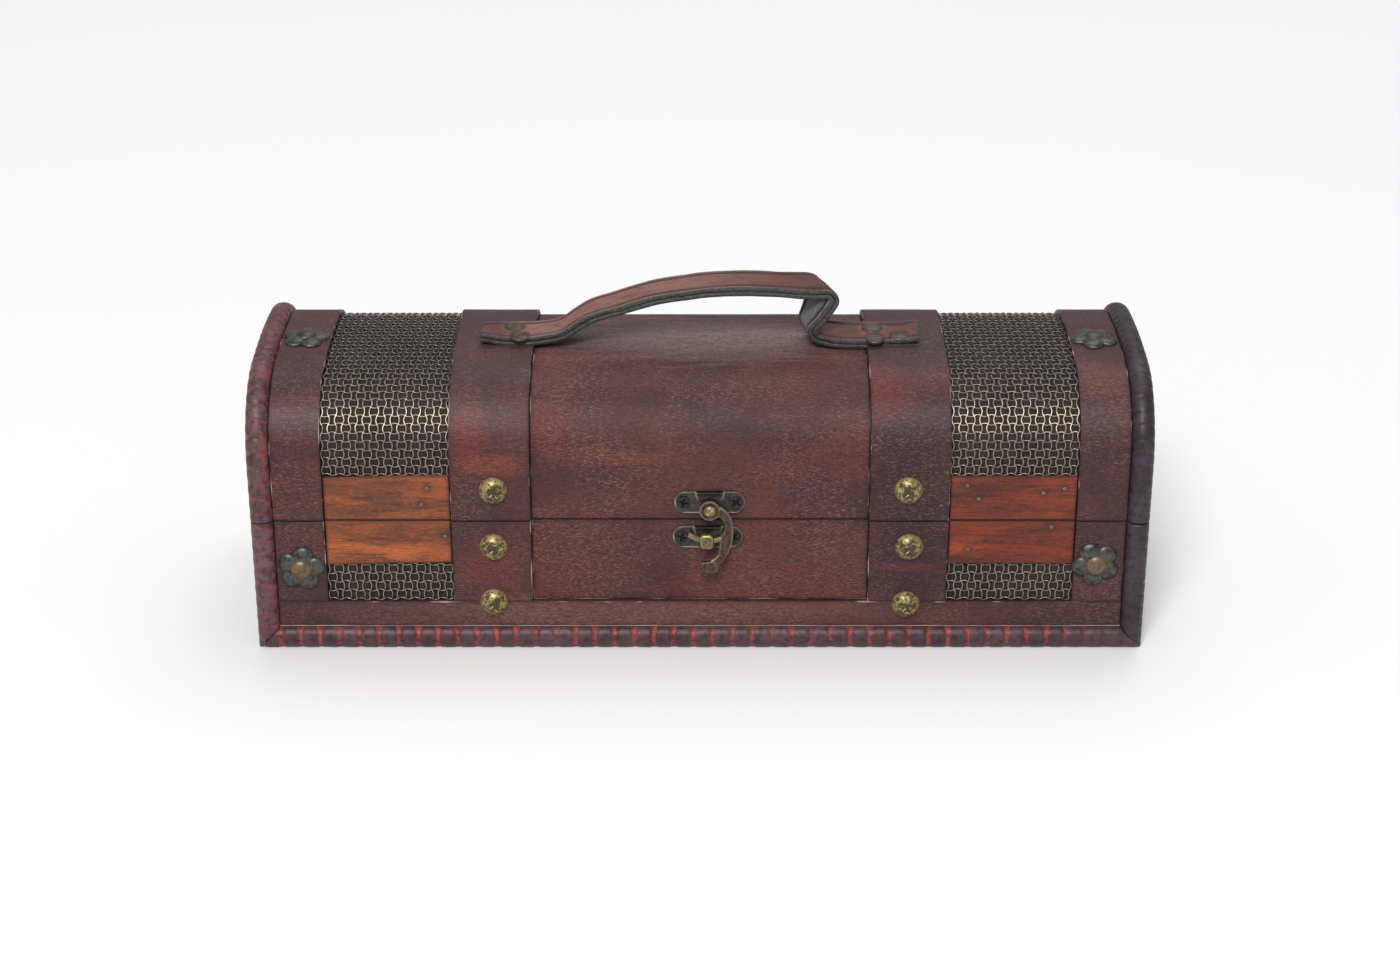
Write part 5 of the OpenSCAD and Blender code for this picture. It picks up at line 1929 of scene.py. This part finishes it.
        # The eye's top rim gets a painted highlight.
        levels = [(circle(radius, 40), height, 0.5 if 3.75 < radius < 4.1 and height > 4 else 0.0)
                  for radius, height in ((4.1, low), (4.2, low + 0.2), (4.2, high - 0.5), (4.05, high - 0.12),
                                         (3.75, high), (3.3, high - 0.04), (2.95, high - 0.35),
                                         (2.5, high - 0.45))]
        shape = Shape().loft(self.rings(self.pivot, levels), (self.level(*self.pivot, high - 0.45), {}))
        self.ribbon(shape, [(5.2, 62.3, 3.6, low, high - 0.3), (8.4, 60.3, 4.0, low, high),
                            (10.6, 57.7, 3.4, low, high), (11.45, 54.7, 3.35, low, high),
                            (11.3, 51.7, 3.9, low, high), (10.45, 48.8, 5.1, low, high),
                            (9.9, 45.4, 4.3, low + 0.3, high + 0.3), (8.8, 42.5, 3.5, low + 0.9, high + 0.9),
                            (7.25, 40.6, 3.2, low + 1.6, high + 1.6),
                            (5.5, 39.2, 3.8, low + 2.2, high + 2.1)])
        self.ribbon(shape, [(10.6, 49.7, 2.6, low, high - 0.2), (8.4, 49.0, 2.2, low, high - 0.2),
                            (6.1, 48.35, 1.95, low, high - 0.3), (2.5, 47.95, 1.9, low, high - 0.3),
                            (-1.0, 49.0, 2.1, low, high - 0.2), (-2.8, 49.9, 2.2, low, high - 0.2),
                            (-4.6, 50.7, 1.9, low, high - 0.4)], 0.35)
        heart = Vector((4.0, 37.7))
        fan = self.rounded([(2.5, 40.0), (4.7, 40.5), (7.5, 39.8), (7.5, 38.0), (7.2, 35.8), (5.9, 35.4),
                            (4.7, 34.8), (3.6, 35.6), (2.5, 35.3), (1.1, 36.2), (0.5, 37.7), (0.25, 39.4),
                            (1.0, 40.1)])
        levels = [([((x - heart[0]) * share, (z - heart[1]) * share) for x, z in fan], height, 0.0)
                  for share, height in ((0.96, 4.5), (1.0, 4.7), (1.0, 6.1), (0.96, 6.4), (0.87, 6.6),
                                        (0.6, 6.3), (0.3, 6.2))]
        return shape.loft(self.rings(heart, levels), (self.level(*heart, 6.2), {}))

    def rounded(self, outline: list[Pair]) -> list[Pair]:
        """Cuts the corners of a closed outline twice.

        Args:
            outline: its corners.

        Returns:
            The corners of the rounder outline.
        """
        for _ in range(2):
            pairs = zip(outline, outline[1:] + outline[:1])
            outline = [(here[0] + (after[0] - here[0]) * share, here[1] + (after[1] - here[1]) * share)
                       for here, after in pairs for share in (0.25, 0.75)]
        return outline

    def button(self) -> Shape:
        """The knob: a neck and a block with cut corners and a bevelled face.

        Returns:
            Its shape.
        """
        foot = (self.knob[0], self.knob[1] - self.neck_drop)
        neck = [(circle(self.neck, 12), height, 0.0) for height in (1.9, 5.2)]
        shape = Shape().loft(self.rings(foot, neck))
        levels = []
        for wide, tall, cut, height in ((2.2, 2.6, 0.8, 4.7), (2.45, 2.95, 0.85, 5.0), (2.5, 3.05, 0.85, 6.7),
                                        (2.35, 2.85, 0.9, 7.25), (1.9, 2.4, 0.8, 7.6), (1.1, 1.4, 0.5, 7.68)):
            half = [(wide, tall - cut), (wide - cut, tall), (-wide + cut, tall), (-wide, tall - cut)]
            # The bevel round the knob's face gets a painted highlight.
            levels.append((half + [(-x, -z) for x, z in half], height, 0.8 if height == 7.25 else 0.0))
        return shape.loft(self.rings(self.knob, levels))

    def build(self) -> None:
        """Builds and dresses the clasp."""
        plate, screw, brass, bronze = (
            finish.make() for finish in (self.plate_metal, self.screw_metal, self.brass, self.bronze))
        sides = (("top", self.upper, Body.LID, "upper"), ("bottom", self.lower, Body.BASE, "lower"))
        for name, centre, body, word in sides:
            seat(self.plate(centre).make(f"clasp_{name}_plate", plate, crease=50), body, "clasp_plate",
                 f"clasp_{word}_plate")
        for name, centre, body, word in sides:
            reach = centre[2] / 2 - self.screw_inset
            seats = [Seat(self.level(centre[0] + way * reach, centre[1], 0.55), TO_FRONT, 20 + 35 * way)
                     for way in (-1, 1)]
            scatter(f"clasp_{name}_screws", self.screw(), seats, screw, body, "clasp_screw",
                    f"clasp_{word}_screws")
        seat(self.hook().make("clasp_swing_hook", bronze, crease=45), Body.HOOK, "clasp_brass", "clasp_hook")
        seat(self.button().make("clasp_block", brass, crease=25, bevel=0.25), Body.BASE, "clasp_brass",
             "clasp_knob")
        scatter("clasp_pivot_head", lathe(self.rivet_profile), [Seat(self.level(*self.pivot, 3.9), TO_FRONT)],
                brass, Body.LID, "clasp_brass", "clasp_pivot")


@dataclass
class Carcass:
    """The box itself: boards, floor, ends and the lid's shell, which keep the frame's own shape."""

    wood: StainedWood = StainedWood("board_wood", dark=(62, 38, 36), mid=(92, 56, 50), red=(110, 52, 44),
                                    pale=(150, 126, 112), red_share=0.35, start=(0.7, 0.4, 0.1))

    def build(self) -> None:
        """Dresses the boards."""
        dress(self.wood.make(), "base_floor", "base_front_board", "base_back_board", "base_left_end",
              "base_right_end", "lid_shell", "lid_left_end", "lid_right_end")


@dataclass
class Hinges:
    """Two butt hinges at the back, which keep the frame's own shape."""

    leaf: AgedMetal = AgedMetal(
        "hinge_metal", (112, 98, 70), (60, 52, 40), (186, 172, 136), 0.45, patch=200)
    steel: AgedMetal = AgedMetal(
        "hinge_steel_metal", (128, 124, 118), (66, 62, 58), (196, 192, 186), 0.4, patch=300)

    def build(self) -> None:
        """Dresses the hinges."""
        dress(self.leaf.make(), "hinge_base_leaves", "hinge_lid_leaves")
        dress(self.steel.make(), "hinge_pins", "hinge_base_screws", "hinge_lid_screws")


@dataclass
class Studio:
    """Pale floor, soft lamps and the camera at the photo's angle, in metres."""

    eye: Triple = (0.0, -1.068, 0.546)
    pitch: float = 65.0
    lens: float = 73.1
    half_floor: float = 3.0
    floor_colours: tuple[Colour, Colour] = ((234, 234, 234), (236, 236, 236))
    fill: float = 0.4
    target: Triple = (0.0, 0.0, 0.07)

    def camera(self) -> None:
        """Places the camera."""
        lens = bpy.data.cameras.new("photo_camera")
        lens.lens = self.lens
        lens.sensor_width = 36.0
        lens.clip_start = 0.01
        eye = link("photo_camera", lens)
        eye.location = self.eye
        eye.rotation_euler = (math.radians(self.pitch), 0, 0)
        bpy.context.scene.camera = eye

    def floor(self) -> None:
        """Lays the floor."""
        paint = Paint("studio_floor")
        paint.ground(paint.noise(3, 2), *self.floor_colours)
        half = self.half_floor
        mesh = bpy.data.meshes.new("studio_floor")
        mesh.from_pydata([(-half, -half, 0), (half, -half, 0), (half, half, 0), (-half, half, 0)], [],
                         [(0, 1, 2, 3)])
        mesh.materials.append(paint.finish(0.9, Specular_IOR_Level=0.1))
        link("studio_floor", mesh)

    def lamp(self, name: str, place: Triple, size: float, power: float) -> None:
        """Adds a soft lamp.

        Args:
            name: the lamp's name.
            place: where it hangs, in metres.
            size: its width in metres.
            power: its power in watts.
        """
        light = bpy.data.lights.new(name, "AREA")
        light.shape = "DISK"
        light.size = size
        light.energy = power
        lamp = link(name, light)
        lamp.location = place
        lamp.rotation_euler = (Vector(place) - Vector(self.target)).to_track_quat("Z", "Y").to_euler()

    def world(self) -> None:
        """Sets an even white surround, which lights less than it shows."""
        world = bpy.data.worlds.new("studio_world")
        world.use_nodes = True
        bpy.context.scene.world = world
        sketch = Sketch(world.node_tree)
        sketch.tree.nodes.clear()
        seen = sketch.node("ShaderNodeLightPath").outputs["Is Camera Ray"]
        strength = sketch.plus(sketch.times(seen, 1 - self.fill), self.fill)
        light = sketch.out("ShaderNodeBackground", {"Color": (1, 1, 1, 1), "Strength": strength})
        sketch.node("ShaderNodeOutputWorld", {"Surface": light})

    def build(self) -> None:
        """Builds the whole studio."""
        bpy.context.scene.view_settings.view_transform = "Standard"
        self.camera()
        self.floor()
        self.world()
        self.lamp("key_lamp", (-0.7, -3.3, 3.6), 1.9, 196)
        self.lamp("top_lamp", (0.3, 1.2, 2.8), 2.4, 30)
        LOG.info("studio is set")


def main() -> None:
    """Builds every sub-assembly in order."""
    logging.basicConfig(level=logging.INFO, format="%(name)s: %(message)s")
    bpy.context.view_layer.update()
    for part in (Carcass(), Facing(), WireMesh(), Trim(), Fastenings(), Handle(), Clasp(), Hinges()):
        LOG.info("building %s", type(part).__name__)
        part.build()
    Studio().build()


if __name__ == "__main__":
    main()
